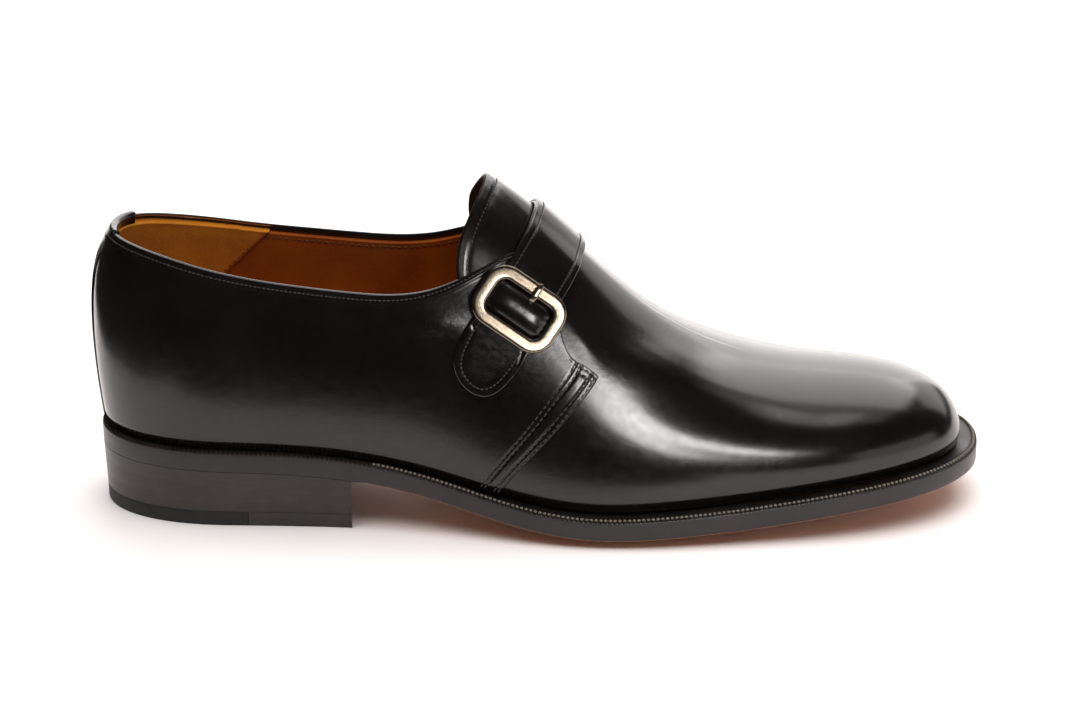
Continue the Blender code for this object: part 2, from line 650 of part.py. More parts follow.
def make_buckle():
    """The frame with its middle pin, and the prong that hooks under the pin and rests on the frame."""
    place = buckle_frame_axes()
    half_wide, top, bottom = BUCKLE_BAR_WIDE / 2, BUCKLE_LIFT + BUCKLE_BAR_HIGH, BUCKLE_LIFT
    bevel = 0.8
    flat = half_wide - bevel
    profile = (
        (-half_wide, bottom + bevel), (-half_wide, top - bevel), (-flat, top), (flat, top),
        (half_wide, top - bevel), (half_wide, bottom + bevel), (flat, bottom), (-flat, bottom),
    )
    bm = bmesh.new()
    loops = []
    for out, lift in profile:
        grow = out - half_wide
        ring = rounded_rectangle(BUCKLE_LONG + 2 * grow, BUCKLE_SHORT + 2 * grow, BUCKLE_CORNER + grow)
        loops.append([bm.verts.new(place(a, d, lift)) for a, d in ring])
    for first, second in zip(loops, loops[1:] + loops[:1]):
        bridge(bm, first + first[:1], second + second[:1])
    frame = new_object("buckle_frame", bm, MATERIALS["aged_nickel"])
    bm = bmesh.new()
    reach = BUCKLE_LONG / 2 - half_wide
    rings = []
    turns = [2 * math.pi * k / PIN_SIDES for k in range(PIN_SIDES)]
    for end in (-reach, reach):
        circle = [(PIN_RADIUS * math.cos(turn), PIN_LIFT + PIN_RADIUS * math.sin(turn)) for turn in turns]
        rings.append([bm.verts.new(place(end, down, lift)) for down, lift in circle])
    bridge(bm, rings[0] + rings[0][:1], rings[1] + rings[1][:1])
    bm.faces.new(rings[0])
    bm.faces.new(rings[1])
    boolean(frame, new_object("buckle_pin", bm, MATERIALS["aged_nickel"]), "UNION")
    make_prong(place)


def make_prong(place):
    curve = bpy.data.curves.new("buckle_prong", "CURVE")
    curve.dimensions = "3D"
    curve.bevel_depth = PRONG_RADIUS * MM
    curve.bevel_resolution = 2
    curve.use_fill_caps = True
    path = curve.splines.new("POLY")
    path.points.add(len(PRONG_PATH) - 1)
    for point, (down, lift) in zip(path.points, PRONG_PATH):
        x, y, z = place(PRONG_ACROSS - BUCKLE_ACROSS, down, lift)
        point.co = ((x - MIDDLE_X) * MM, (y - MIDDLE_Y) * MM, z * MM, 1.0)
    curve.materials.append(MATERIALS["aged_nickel"])
    SHOE.objects.link(bpy.data.objects.new("buckle_prong", curve))


def make_material(name, colour, roughness, metallic=0.0):
    material = bpy.data.materials.new(name)
    material.use_nodes = True
    shader = material.node_tree.nodes["Principled BSDF"]
    shader.inputs["Base Color"].default_value = (*colour, 1.0)
    shader.inputs["Roughness"].default_value = roughness
    shader.inputs["Metallic"].default_value = metallic
    return material


for leftover in list(bpy.data.objects):
    bpy.data.objects.remove(leftover)
SHOE = bpy.data.collections.new("monk_strap_shoe")
CUTTERS = bpy.data.collections.new("cutters")
for collection in (SHOE, CUTTERS):
    bpy.context.scene.collection.children.link(collection)
MATERIALS = {
    "black_calf": make_material("black_calf", (0.012, 0.011, 0.011), 0.25),
    "black_edge": make_material("black_edge", (0.02, 0.018, 0.018), 0.4),
    "tan_sole": make_material("tan_sole", (0.35, 0.19, 0.11), 0.55),
    "tan_lining": make_material("tan_lining", (0.36, 0.17, 0.05), 0.6),
    "heel_leather": make_material("heel_leather", (0.03, 0.025, 0.024), 0.4),
    "heel_rubber": make_material("heel_rubber", (0.012, 0.012, 0.012), 0.6),
    "aged_nickel": make_material("aged_nickel", (0.56, 0.5, 0.42), 0.35, 1.0),
}

make_upper()
make_quarter("quarter_lateral", LATERAL)
make_quarter("quarter_medial", MEDIAL)
make_back_strip()
make_strap()
make_buckle()
make_insole()
make_welt()
make_outsole()
make_heel()
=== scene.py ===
"""Looks of the right monk-strap dress shoe: calf upper, linings, strap, buckle, welt, sole and heel.

The last's tables and functions are those of the solids, in millimetres. Meshes are made in metres.
"""

import math

import bpy
import numpy as np
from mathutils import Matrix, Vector


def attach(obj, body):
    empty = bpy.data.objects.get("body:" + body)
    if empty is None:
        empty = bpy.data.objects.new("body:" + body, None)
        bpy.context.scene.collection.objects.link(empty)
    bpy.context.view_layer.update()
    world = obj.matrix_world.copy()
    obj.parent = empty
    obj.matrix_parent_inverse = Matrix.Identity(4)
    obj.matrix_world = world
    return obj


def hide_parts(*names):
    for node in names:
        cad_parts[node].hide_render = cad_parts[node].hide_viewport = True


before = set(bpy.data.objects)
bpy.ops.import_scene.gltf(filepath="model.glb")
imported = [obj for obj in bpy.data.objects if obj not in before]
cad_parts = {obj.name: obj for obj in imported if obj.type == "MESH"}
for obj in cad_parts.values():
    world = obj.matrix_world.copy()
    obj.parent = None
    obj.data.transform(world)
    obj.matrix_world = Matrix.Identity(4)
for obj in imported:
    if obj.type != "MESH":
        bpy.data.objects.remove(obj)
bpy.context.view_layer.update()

MM = 0.001
LATERAL, MEDIAL = -1, 1
# The middle of the shoe's outline, which is the origin
MIDDLE = np.array([150.1, 1.65, 0.0])

# The last, as in the solids
TOE_TIP = 297.0
HEEL_ROUND, HEEL_POWER = 46.0, 2.25
TOE_ROUND, TOE_POWER = 92.0, 2.35
NOSE_ROUND, NOSE_POWER = 50.0, 2.18
HEEL_SHIFT_REACH = 120.0
SECTION_COLUMNS = ("x", "lateral", "medial", "ridge_y", "feather_z", "ridge_z", "bulge", "square")
SECTIONS = (
    (0.0, 31.5, 31.5, 0.0, 28.2, 158.0, 1.45, -0.80),
    (45.0, 32.0, 31.5, 0.0, 27.4, 152.0, 1.45, -0.80),
    (85.0, 32.8, 30.5, 0.0, 25.4, 140.0, 1.25, -0.40),
    (115.0, 36.0, 31.0, 0.0, 20.4, 126.0, 1.05, -0.05),
    (145.0, 42.5, 35.0, 0.0, 13.4, 107.5, 0.80, -0.10),
    (170.0, 47.0, 41.0, 1.0, 10.4, 84.5, 0.90, 0.00),
    (195.0, 48.0, 44.5, 3.0, 10.9, 63.4, 1.15, 0.20),
    (220.0, 46.5, 45.0, 5.0, 12.6, 51.9, 1.35, 0.40),
    (250.0, 46.5, 44.5, 7.0, 15.7, 46.3, 1.45, 0.50),
    (297.0, 46.5, 45.0, 9.0, 19.8, 48.9, 1.45, 0.50),
)
# The back of the heel: height and x
BACK_CURVE = (
    (28.0, 3.5), (42.0, 1.7), (56.0, 0.6), (68.0, 0.4),
    (80.0, 1.4), (90.0, 3.9), (98.0, 7.3), (106.0, 11.9),
)
# The collar's edge: x and its lateral and medial heights
COLLAR = (
    (-8.0, 96.8, 96.8), (8.0, 96.4, 95.6), (22.0, 94.4, 92.9), (38.0, 90.6, 90.2), (55.0, 86.9, 88.2),
    (72.0, 84.4, 86.9), (88.0, 82.7, 85.8), (105.0, 82.2, 85.4), (116.0, 84.0, 86.8), (125.0, 87.2, 89.4),
    (134.0, 91.2, 92.6), (141.0, 94.0, 94.5), (146.0, 95.0, 95.0),
)
# The tongue's back edge and the quarter's front edge: height and x
TONGUE_EDGE = ((87.0, 124.6), (94.0, 124.4), (101.0, 125.9), (107.0, 128.6), (113.0, 132.0), (117.0, 134.6))
QUARTER_FRONT = ((9.0, 134.6), (17.6, 140.3), (27.2, 147.6), (37.2, 155.9), (47.2, 164.1), (55.7, 172.0))
# The quarter's top: x and height
QUARTER_TOP = (
    (146.0, 95.0), (150.0, 91.0), (154.0, 83.5), (157.5, 75.0), (160.5, 66.0), (166.5, 59.6), (172.0, 55.7),
)
# The sole outside the feather edge: x and its lateral and medial widths
SOLE_EDGE = (
    (0.0, 2.8, 2.8), (45.0, 2.9, 2.9), (90.0, 3.2, 2.8), (125.0, 4.4, 2.6), (160.0, 5.8, 4.2),
    (195.0, 6.2, 5.6), (240.0, 6.0, 5.8), (297.0, 5.6, 5.6),
)
# The sole's underside: where it lies flat, and x and height before and after that
FLAT_FROM, FLAT_TO, CROWN_END = 178.0, 206.0, 260.0
WAIST_TREAD = ((90.0, 16.8), (115.0, 11.9), (145.0, 4.9), (165.0, 1.0), (178.0, 0.0))
TOE_TREAD = ((206.0, 0.0), (220.0, 1.2), (250.0, 5.2), (297.0, 11.0))

# Wall thicknesses and the heights of the pieces on the last
SHELL_WALL = 2.0
QUARTER_OUT = 1.6
QUARTER_THICK = 1.1
STRIP_OUT = 2.8
SEAM_STATION = 0.0004
ROW_SPREAD = 1.35

# The strap and buckle
STRAP_TILT = math.atan2(0.55, 0.835)
STRAP_NEAR, STRAP_FAR = 67.4, 89.2
STRAP_THICK = 2.2
# The tip's outline: across the strap and down it
STRAP_TIP = (
    (67.4, -130.0), (68.3, -123.2), (69.6, -119.4), (72.0, -116.5), (75.7, -114.4),
    (80.2, -113.6), (84.2, -114.5), (87.0, -117.2), (88.5, -121.2), (89.2, -127.0),
)
STRAP_MEDIAL_END = 1.46
STRAP_STATIONS, STRAP_OVER_FROM = (0.2, 0.72), 0.05
STRAP_ON_SHELL, STRAP_ON_QUARTER = 0.5, 2.0
BUCKLE_ACROSS, BUCKLE_DOWN = 78.4, -144.0
BUCKLE_LONG, BUCKLE_SHORT, BUCKLE_CORNER = 31.0, 21.8, 7.8
BUCKLE_BAR, BUCKLE_BAR_HIGH = 4.7, 2.4
BUCKLE_LIFT = 4.7
PIN_RADIUS, PIN_LIFT = 1.0, 4.2
STRAP_OVER_PIN = 5.6
PRONG_ACROSS = 80.2

# The sole
WELT_THICK, OUTSOLE_THICK, INSOLE_THICK = 2.5, 4.5, 3.0
WELT_INSET = 3.0
BREAST_X, BREAST_HOLLOW = 88.5, 5.0
TOP_PIECE_THICK = 5.0
RUBBER_LENGTH = 52.0
HEEL_TAPER = 1.1
GAP = 0.3


def spline(table, column=1):
    """A natural cubic curve through one column of a table, over its first column."""
    knots, values = (np.array([row[i] for row in table], float) for i in (0, column))
    count, step = len(knots), np.diff(knots)
    matrix, right = np.eye(count), np.zeros(count)
    for i in range(1, count - 1):
        matrix[i, i - 1 : i + 2] = step[i - 1], 2 * (step[i - 1] + step[i]), step[i]
        right[i] = 6 * ((values[i + 1] - values[i]) / step[i] - (values[i] - values[i - 1]) / step[i - 1])
    bend = np.linalg.solve(matrix, right)

    def value(at):
        at = np.clip(np.asarray(at, float), knots[0], knots[-1])
        i = np.clip(np.searchsorted(knots, at) - 1, 0, count - 2)
        ahead, behind, h = knots[i + 1] - at, at - knots[i], step[i]
        curved = (bend[i] * ahead**3 + bend[i + 1] * behind**3) / (6 * h)
        from_left = (values[i] / h - bend[i] * h / 6) * ahead
        from_right = (values[i + 1] / h - bend[i + 1] * h / 6) * behind
        return curved + from_left + from_right

    return value


SECTION = {name: spline(SECTIONS, i) for i, name in enumerate(SECTION_COLUMNS) if i}
back_x, tongue_x, quarter_front_x = spline(BACK_CURVE), spline(TONGUE_EDGE), spline(QUARTER_FRONT)
quarter_top_z, waist_tread, toe_tread = spline(QUARTER_TOP), spline(WAIST_TREAD), spline(TOE_TREAD)
collar_z = {LATERAL: spline(COLLAR, 1), MEDIAL: spline(COLLAR, 2)}
sole_edge_width = {LATERAL: spline(SOLE_EDGE, 1), MEDIAL: spline(SOLE_EDGE, 2)}


def arrays(*values):
    """Numbers or arrays as arrays of one shape."""
    return np.broadcast_arrays(*(np.asarray(value, float) for value in values))


def unit(vectors):
    """Vectors brought to length 1."""
    return vectors / np.maximum(np.linalg.norm(vectors, axis=-1, keepdims=True), 1e-12)


def lengths_along(points, axis=0):
    """Distance run along a line or grid of points in one direction."""
    steps = np.linalg.norm(np.diff(points, axis=axis), axis=-1)
    start = np.zeros_like(np.take(steps, [0], axis))
    return np.concatenate([start, np.cumsum(steps, axis)], axis)


def rounded_line(knots, step=0.1, blur=1.5):
    """A line through knots with its corners rounded off by a moving average."""
    knots = np.array(knots, float)
    run = lengths_along(knots)
    even = np.linspace(0, run[-1], int(run[-1] / step))
    line = np.stack([np.interp(even, run, column) for column in knots.T], -1)
    offsets = np.arange(-3 * blur, 3 * blur + step, step)
    weights = np.exp(-0.5 * (offsets / blur) ** 2)
    pad = len(offsets) // 2
    before, after = 2 * line[0] - line[pad:0:-1], 2 * line[-1] - line[-2 : -pad - 2 : -1]
    line = np.concatenate([before, line, after])
    return np.stack([np.convolve(column, weights / weights.sum(), "valid") for column in line.T], -1)


TIP_LINE = rounded_line(STRAP_TIP)


def strap_tip_down(across_at):
    """How far down the strap's tip reaches on a line along it."""
    return np.interp(across_at, TIP_LINE[:, 0], TIP_LINE[:, 1])


def smooth(low, high, at):
    """0 below low, 1 above high, and an S curve between."""
    share = np.clip((np.asarray(at, float) - low) / (high - low), 0, 1)
    return share * share * (3 - 2 * share)


def bell(at, width):
    """1 at zero, falling off smoothly over a width."""
    return np.exp(-((np.asarray(at, float) / width) ** 2))


def rounded(share, power):
    """The height of a rounded end, from 1 at its start to 0 at its tip."""
    return (1 - np.clip(share, 0, 1) ** power) ** (1 / power)


def along_of(station):
    """Distance from the heel for a station from 0 to 1, with the stations closing up round both ends."""
    station = np.asarray(station, float)
    heel_share, toe_share = 0.22, 0.36
    heel = np.clip(station / heel_share, 0, 1) * math.pi / 2
    toe = np.clip((station - 1 + toe_share) / toe_share, 0, 1) * math.pi / 2
    side = np.clip((station - heel_share) / (1 - heel_share - toe_share), 0, 1)
    heel_part = HEEL_ROUND * (1 - np.cos(heel) ** (2 / HEEL_POWER))
    toe_part = TOE_ROUND * np.sin(toe) ** (2 / TOE_POWER)
    return heel_part + side * (TOE_TIP - TOE_ROUND - HEEL_ROUND) + toe_part


def last_at(along, over):
    """The last's surface. over runs from 0 at the lateral feather edge over the ridge at 1 to 2, medial."""
    along, over = arrays(along, over)
    out = 1 - over
    up = 1 - out * out
    feather = SECTION["feather_z"](along)
    nose = rounded((along - TOE_TIP + NOSE_ROUND) / NOSE_ROUND, NOSE_POWER)
    z = feather + up * (SECTION["ridge_z"](along) - feather) * nose
    medial = smooth(0.5, 1.5, over)
    half = SECTION["lateral"](along) * (1 - medial) + SECTION["medial"](along) * medial
    heel = rounded(1 - along / HEEL_ROUND, HEEL_POWER)
    toe = rounded((along - TOE_TIP + TOE_ROUND) / TOE_ROUND, TOE_POWER)
    girth = np.sqrt(np.clip(1 + SECTION["bulge"](along) * up + SECTION["square"](along) * up * up, 0, None))
    y = SECTION["ridge_y"](along) - half * heel * toe * out * girth
    fade = np.clip(1 - along / HEEL_SHIFT_REACH, 0, 1) ** 2
    return np.stack([along + back_x(z) * fade, y, z], -1)


def at_station(station, over):
    """The last at a station. Past either end it carries on along the other side."""
    station, over = arrays(station, over)
    past = (station < 0) | (station > 1)
    inside = np.where(station > 1, 2 - station, np.abs(station))
    return last_at(along_of(inside), np.where(past, 2 - over, over))


def normal_at(station, over):
    """The last's outward direction."""
    step = 1e-4
    along = at_station(station + step, over) - at_station(station - step, over)
    across = at_station(station, over + step) - at_station(station, over - step)
    normal = np.cross(along, across)
    length = np.linalg.norm(normal, axis=-1, keepdims=True)
    at_tip = (station[..., None] > 0.9995) | (length < 1e-12)
    return np.where(at_tip, np.array([1.0, 0.0, 0.0]), normal / np.maximum(length, 1e-12))


def lifted(station, over, height):
    """A point at a height above the last's surface."""
    station, over, height = arrays(station, over, height)
    return at_station(station, over) + normal_at(station, over) * height[..., None]


def solve(goal, low, high, steps=40):
    """Where goal(x), which rises from low to high, passes zero, by halving."""
    low, high = np.array(low, float), np.array(high, float)
    for _ in range(steps):
        middle = (low + high) / 2
        below = goal(middle) < 0
        low, high = np.where(below, middle, low), np.where(below, high, middle)
    return (low + high) / 2


def station_of(x, over):
    """The station where a share over the last reaches x."""
    x, over = arrays(x, over)
    return solve(lambda s: at_station(s, over)[..., 0] - x, np.zeros(x.shape), np.ones(x.shape))


def over_of(station, z):
    """How far over the lateral side a station's section reaches a height."""
    station, z = arrays(station, z)
    return solve(lambda v: at_station(station, v)[..., 2] - z, np.zeros(z.shape), np.ones(z.shape))


def at_side_view(x, z, rounds=6):
    """The station and the share over for a lateral point of the side view."""
    x, z = arrays(x, z)
    over = np.full(x.shape, 0.5)
    for _ in range(rounds):
        station = station_of(x, over)
        over = over_of(station, z)
    return station, over


def collar_over(station, side):
    """How far over a station's section reaches the collar's edge, counted from its own side."""
    along = along_of(station)
    fade = np.clip(1 - along / HEEL_SHIFT_REACH, 0, 1) ** 2
    x = along + back_x(collar_z[side](along)) * fade
    return over_of(station, collar_z[side](x))


# Nodes and colours of the materials


def linear(code):
    """An sRGB hex colour as linear red, green, blue and alpha."""
    parts = [int(code[i : i + 2], 16) / 255 for i in (1, 3, 5)]
    return (*[p / 12.92 if p <= 0.04045 else ((p + 0.055) / 1.055) ** 2.4 for p in parts], 1.0)


def plug(tree, node, links):
    """Gives a node's sockets their values or links. A node given as a value stands for its first output."""
    for socket, value in links.items():
        if isinstance(value, bpy.types.Node):
            value = value.outputs[0]
        if isinstance(value, bpy.types.NodeSocket):
            tree.links.new(value, node.inputs[socket])
        else:
            node.inputs[socket].default_value = value


def add(tree, kind, links=None, stops=(), **settings):
    """Adds a node with its properties, its sockets' values or links, and a colour ramp's stops."""
    node = tree.nodes.new("ShaderNode" + kind)
    for name, value in settings.items():
        setattr(node, name, value)
    for element, (at, colour) in zip(node.color_ramp.elements if stops else (), stops):
        element.position, element.color = at, linear(colour)
    plug(tree, node, links or {})
    return node


def new_material(name):
    """A material with its nodes, its shader and Object coordinates."""
    material = bpy.data.materials.new(name)
    material.use_nodes = True
    tree = material.node_tree
    return material, tree, tree.nodes["Principled BSDF"], add(tree, "TexCoord").outputs["Object"]


def per_mm(size):
    """A texture's scale in Object coordinates, for features of a size in millimetres."""
    return 1.0 / (size * MM)


def calf_leather(name, dark, light, rough, grain, coat):
    """Polished box calf, smooth and waxed: a soft gloss under a clear one, with pores and fine creases.

    The pores are drawn coarser than real ones, to show.
    """
    material, tree, shader, place = new_material(name)
    worn = add(tree, "Attribute", attribute_name="creasing").outputs["Fac"]
    pores = add(tree, "TexVoronoi", {"Vector": place, "Scale": per_mm(0.42), "Randomness": 1.0})
    hide = add(tree, "TexNoise", {"Vector": place, "Scale": per_mm(2.6), "Detail": 2.0})
    cloud = add(tree, "TexNoise", {"Vector": place, "Scale": per_mm(22.0), "Detail": 3.0})
    turned = add(tree, "Mapping", {"Vector": place, "Rotation": (0.0, 0.5, 0.2), "Scale": (1.0, 1.0, 1.6)})
    lines = add(tree, "TexNoise", {"Vector": turned, "Scale": per_mm(1.9), "Detail": 3.0})
    gloss = add(tree, "MapRange", {
        "Value": hide, "From Min": 0.3, "From Max": 0.7, "To Min": rough - 0.03, "To Max": rough + 0.03,
    })
    creases = add(tree, "Bump", {"Height": lines, "Strength": worn, "Distance": 0.00013})
    fine = add(tree, "Bump", {"Height": pores, "Strength": grain, "Distance": 0.00012, "Normal": creases})
    soft = {"Height": hide, "Strength": grain * 0.7, "Distance": 0.0004, "Normal": fine}
    plug(tree, shader, {
        "Base Color": add(tree, "ValToRGB", {"Fac": cloud}, ((0.35, dark), (0.7, light))),
        "Roughness": add(tree, "Math", {0: worn, 1: 0.08, 2: gloss}, operation="MULTIPLY_ADD"),
        "Normal": add(tree, "Bump", soft),
        "IOR": 1.5, "Coat Weight": coat, "Coat Roughness": 0.13,
    })
    return material


def lining_leather(name, dark, light, rough, nap):
    """Undyed calf lining: matt, with a short nap and uneven tan colour."""
    material, tree, shader, place = new_material(name)
    fibre = add(tree, "TexNoise", {"Vector": place, "Scale": per_mm(0.7), "Detail": 4.0, "Roughness": 0.7})
    cloud = add(tree, "TexNoise", {"Vector": place, "Scale": per_mm(16.0), "Detail": 4.0})
    both = add(tree, "Mix", {"Factor": 0.45, "A": cloud, "B": fibre})
    plug(tree, shader, {
        "Base Color": add(tree, "ValToRGB", {"Fac": both}, ((0.32, dark), (0.68, light))),
        "Normal": add(tree, "Bump", {"Height": fibre, "Strength": nap, "Distance": 0.0003}),
        "Roughness": rough, "Specular IOR Level": 0.2,
    })
    return material


def edge_leather(name, dark, light, rough, layers):
    """Sole leather cut across its layers, inked and waxed: satin, with faint level lines."""
    material, tree, shader, place = new_material(name)
    stretched = add(tree, "Mapping", {"Vector": place, "Scale": (60.0, 60.0, per_mm(layers))})
    lines = add(tree, "TexNoise", {"Vector": stretched, "Scale": 1.0, "Detail": 4.0})
    cloud = add(tree, "TexNoise", {"Vector": place, "Scale": per_mm(9.0), "Detail": 4.0})
    both = add(tree, "Mix", {"Factor": 0.5, "A": lines, "B": cloud})
    plug(tree, shader, {
        "Base Color": add(tree, "ValToRGB", {"Fac": both}, ((0.35, dark), (0.68, light))),
        "Roughness": add(tree, "MapRange", {
            "Value": lines, "From Min": 0.3, "From Max": 0.7, "To Min": rough - 0.07, "To Max": rough + 0.08,
        }),
        "Normal": add(tree, "Bump", {"Height": lines, "Strength": 0.25, "Distance": 0.00015}),
    })
    return material


def satin_nickel(name):
    """Antiqued nickel plate, tumbled: a satin gloss, warm, with worn speckles and darker patches at random.
    """
    material, tree, shader, place = new_material(name)
    fleck = add(tree, "TexNoise", {"Vector": place, "Scale": per_mm(0.9), "Detail": 6.0, "Roughness": 0.7})
    cloud = add(tree, "TexNoise", {"Vector": place, "Scale": per_mm(5.0), "Detail": 3.0})
    both = add(tree, "Mix", {"Factor": 0.5, "A": fleck, "B": cloud})
    plug(tree, shader, {
        "Base Color": add(tree, "ValToRGB", {"Fac": both}, ((0.34, "#7d7365"), (0.62, "#938776"))),
        "Roughness": add(tree, "MapRange", {
            "Value": fleck, "From Min": 0.3, "From Max": 0.7, "To Min": 0.17, "To Max": 0.24,
        }),
        "Normal": add(tree, "Bump", {"Height": fleck, "Strength": 0.03, "Distance": 0.0001}),
        "Metallic": 1.0,
    })
    return material


def waxed_thread(name, dark, light):
    """Twisted polyester sewing thread with a wax shine. The twist is drawn coarser than it is, to show."""
    material, tree, shader, place = new_material(name)
    twist = add(tree, "TexNoise", {"Vector": place, "Scale": per_mm(0.35), "Detail": 2.0})
    plug(tree, shader, {
        "Base Color": add(tree, "ValToRGB", {"Fac": twist}, ((0.35, dark), (0.65, light))),
        "Normal": add(tree, "Bump", {"Height": twist, "Strength": 0.3, "Distance": 0.0001}),
        "Roughness": 0.42,
    })
    return material


def heel_rubber(name):
    """Moulded rubber: matt black with a fine grain."""
    material, tree, shader, place = new_material(name)
    grain = add(tree, "TexNoise", {"Vector": place, "Scale": per_mm(0.5), "Detail": 3.0})
    cloud = add(tree, "TexNoise", {"Vector": place, "Scale": per_mm(8.0), "Detail": 3.0})
    plug(tree, shader, {
        "Base Color": add(tree, "ValToRGB", {"Fac": cloud}, ((0.35, "#0a0807"), (0.7, "#151110"))),
        "Normal": add(tree, "Bump", {"Height": grain, "Strength": 0.25, "Distance": 0.0002}),
        "Roughness": 0.62,
    })
    return material


# Meshes


def finish_piece(obj, name, materials, nodes, angle=None):
    """Names a finished piece, shades it smooth and hands it to the frame."""
    obj.name = name
    obj.data.name = name
    for material in materials:
        obj.data.materials.append(material)
    bpy.ops.object.select_all(action="DESELECT")
    obj.select_set(True)
    bpy.context.view_layer.objects.active = obj
    if angle is None:
        bpy.ops.object.shade_smooth()
    else:
        bpy.ops.object.shade_smooth_by_angle(angle=math.radians(angle))
    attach(obj, "root")
    if nodes:
        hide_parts(*nodes)
    return obj


def grid_object(points, weld=True, creasing=None):
    """A primitive grid, its vertices moved onto points in millimetres and welded where they meet."""
    rows, columns = points.shape[:2]
    bpy.ops.mesh.primitive_grid_add(x_subdivisions=columns - 1, y_subdivisions=rows - 1, size=1.0)
    obj = bpy.context.object
    obj.data.vertices.foreach_set("co", ((points - MIDDLE) * MM).astype(np.float32).ravel())
    obj.data.update()
    if creasing is not None:
        marks = obj.data.attributes.new("creasing", "FLOAT", "POINT")
        marks.data.foreach_set("value", creasing.astype(np.float32).ravel())
    if weld:
        join_seams(obj)
    return obj


def closed_band(top, under, creasing=None):
    """A closed solid between two grids that have the same outline."""
    def ring(upper, lower):
        return np.concatenate([upper, lower[:, ::-1], upper[:, :1]], axis=1)

    ends = ring((top + under) / 2, (top + under) / 2)
    points = np.concatenate([ends[:1], ring(top, under), ends[-1:]])
    if creasing is not None:
        creasing = ring(creasing, creasing)[np.clip(np.arange(-1, len(top) + 1), 0, len(top) - 1)]
    return grid_object(points, creasing=creasing)


def edit_all(obj):
    """Opens a piece for editing with everything selected."""
    bpy.context.view_layer.objects.active = obj
    bpy.ops.object.mode_set(mode="EDIT")
    bpy.ops.mesh.select_all(action="SELECT")


def join_seams(obj):
    """Welds the vertices that meet and turns the faces one way."""
    edit_all(obj)
    bpy.ops.mesh.remove_doubles(threshold=2e-6)
    bpy.ops.mesh.dissolve_degenerate(threshold=1e-7)
    bpy.ops.mesh.normals_make_consistent(inside=False)
    bpy.ops.object.mode_set(mode="OBJECT")


def flip(obj):
    """Turns a piece's faces round."""
    edit_all(obj)
    bpy.ops.mesh.flip_normals()
    bpy.ops.object.mode_set(mode="OBJECT")


def thicken(obj, thick, rim=0):
    """Gives an open sheet its thickness, inwards."""
    wall = obj.modifiers.new("wall", "SOLIDIFY")
    wall.thickness = thick * MM
    wall.offset = -1.0
    wall.material_offset_rim = rim
    bpy.context.view_layer.objects.active = obj
    bpy.ops.object.modifier_apply(modifier=wall.name)


def middle_face(obj):
    """A face in the middle of a sheet's grid."""
    return obj.data.polygons[len(obj.data.polygons) // 2]


def face_out(obj):
    """Makes an open sheet's faces point away from the last."""
    face = middle_face(obj)
    centre = np.array(face.center) / MM + MIDDLE
    want = normal_at(*at_side_view(centre[0], centre[2]))
    if centre[1] > SECTION["ridge_y"](centre[0]):
        want = want * np.array([1.0, -1.0, 1.0])
    if want @ np.array(face.normal) < 0:
        flip(obj)


def edge_roll(distance, radius):
    """How far a folded edge drops at a distance from it: a quarter round."""
    inside = np.clip(1 - distance / radius, 0, 1)
    return radius * (np.sqrt(np.clip(1 - inside * inside, 0, 1)) - 1)


def tucked(base):
    """How far the lasted wall draws in just above the welt."""
    above = base[..., 2] - SECTION["feather_z"](base[..., 0])
    return -TUCK_DEEP * (1 - smooth(0.0, TUCK_HIGH, above))


TUCK_DEEP, TUCK_HIGH = 1.1, 4.2


def edge_spaced(count, fine, share, both=False):
    """Shares from 0 to 1 with the first few close together, and the last few too if asked."""
    head = np.linspace(0, share, fine, endpoint=False)
    if both:
        return np.concatenate([head, np.linspace(share, 1 - share, count - 2 * fine), 1 - head[::-1]])
    return np.concatenate([head, np.linspace(share, 1, count - fine)])


def ripple(points, size, seed):
    """Soft random waves over points, between about -1 and 1, from a few sines of a size in millimetres."""
    draw = np.random.default_rng(seed)
    total = np.zeros(points.shape[:-1])
    for _ in range(7):
        direction = unit(draw.normal(size=3)) * 2 * math.pi / (size * draw.uniform(0.7, 1.5))
        total = total + np.sin(points @ direction + draw.uniform(0, 2 * math.pi))
    return total / 4.0


# Vamp and tongue


def tongue_station(over):
    """The station of the tongue's back edge, cut away lower down on the medial side."""
    low, high = np.full(over.shape, 0.15), np.full(over.shape, 0.75)
    cut = CUT_SLOPE * np.clip(over - CUT_FROM, 0, CUT_REACH)

    def behind(station):
        point = at_station(station, over)
        return point[..., 0] - tongue_x(point[..., 2]) - cut

    return solve(behind, low, high)


# The medial cut of the tongue: millimetres for each share over, where it starts and how far it goes
CUT_SLOPE, CUT_FROM, CUT_REACH = 22.0, 1.38, 0.22


def vamp_grid(columns, rows):
    """Stations and shares over of the vamp, from the tongue's edge to the toe, side to side."""
    rise = np.linspace(0, 1, rows // 2 + 1) ** 1.12
    over = np.concatenate([rise, 2 - rise[-2::-1]])
    edge = tongue_station(over)
    share = edge_spaced(columns, 7, 0.012)
    station = edge[None, :] + (1 - edge)[None, :] * share[:, None]
    return station, np.broadcast_to(over, station.shape)


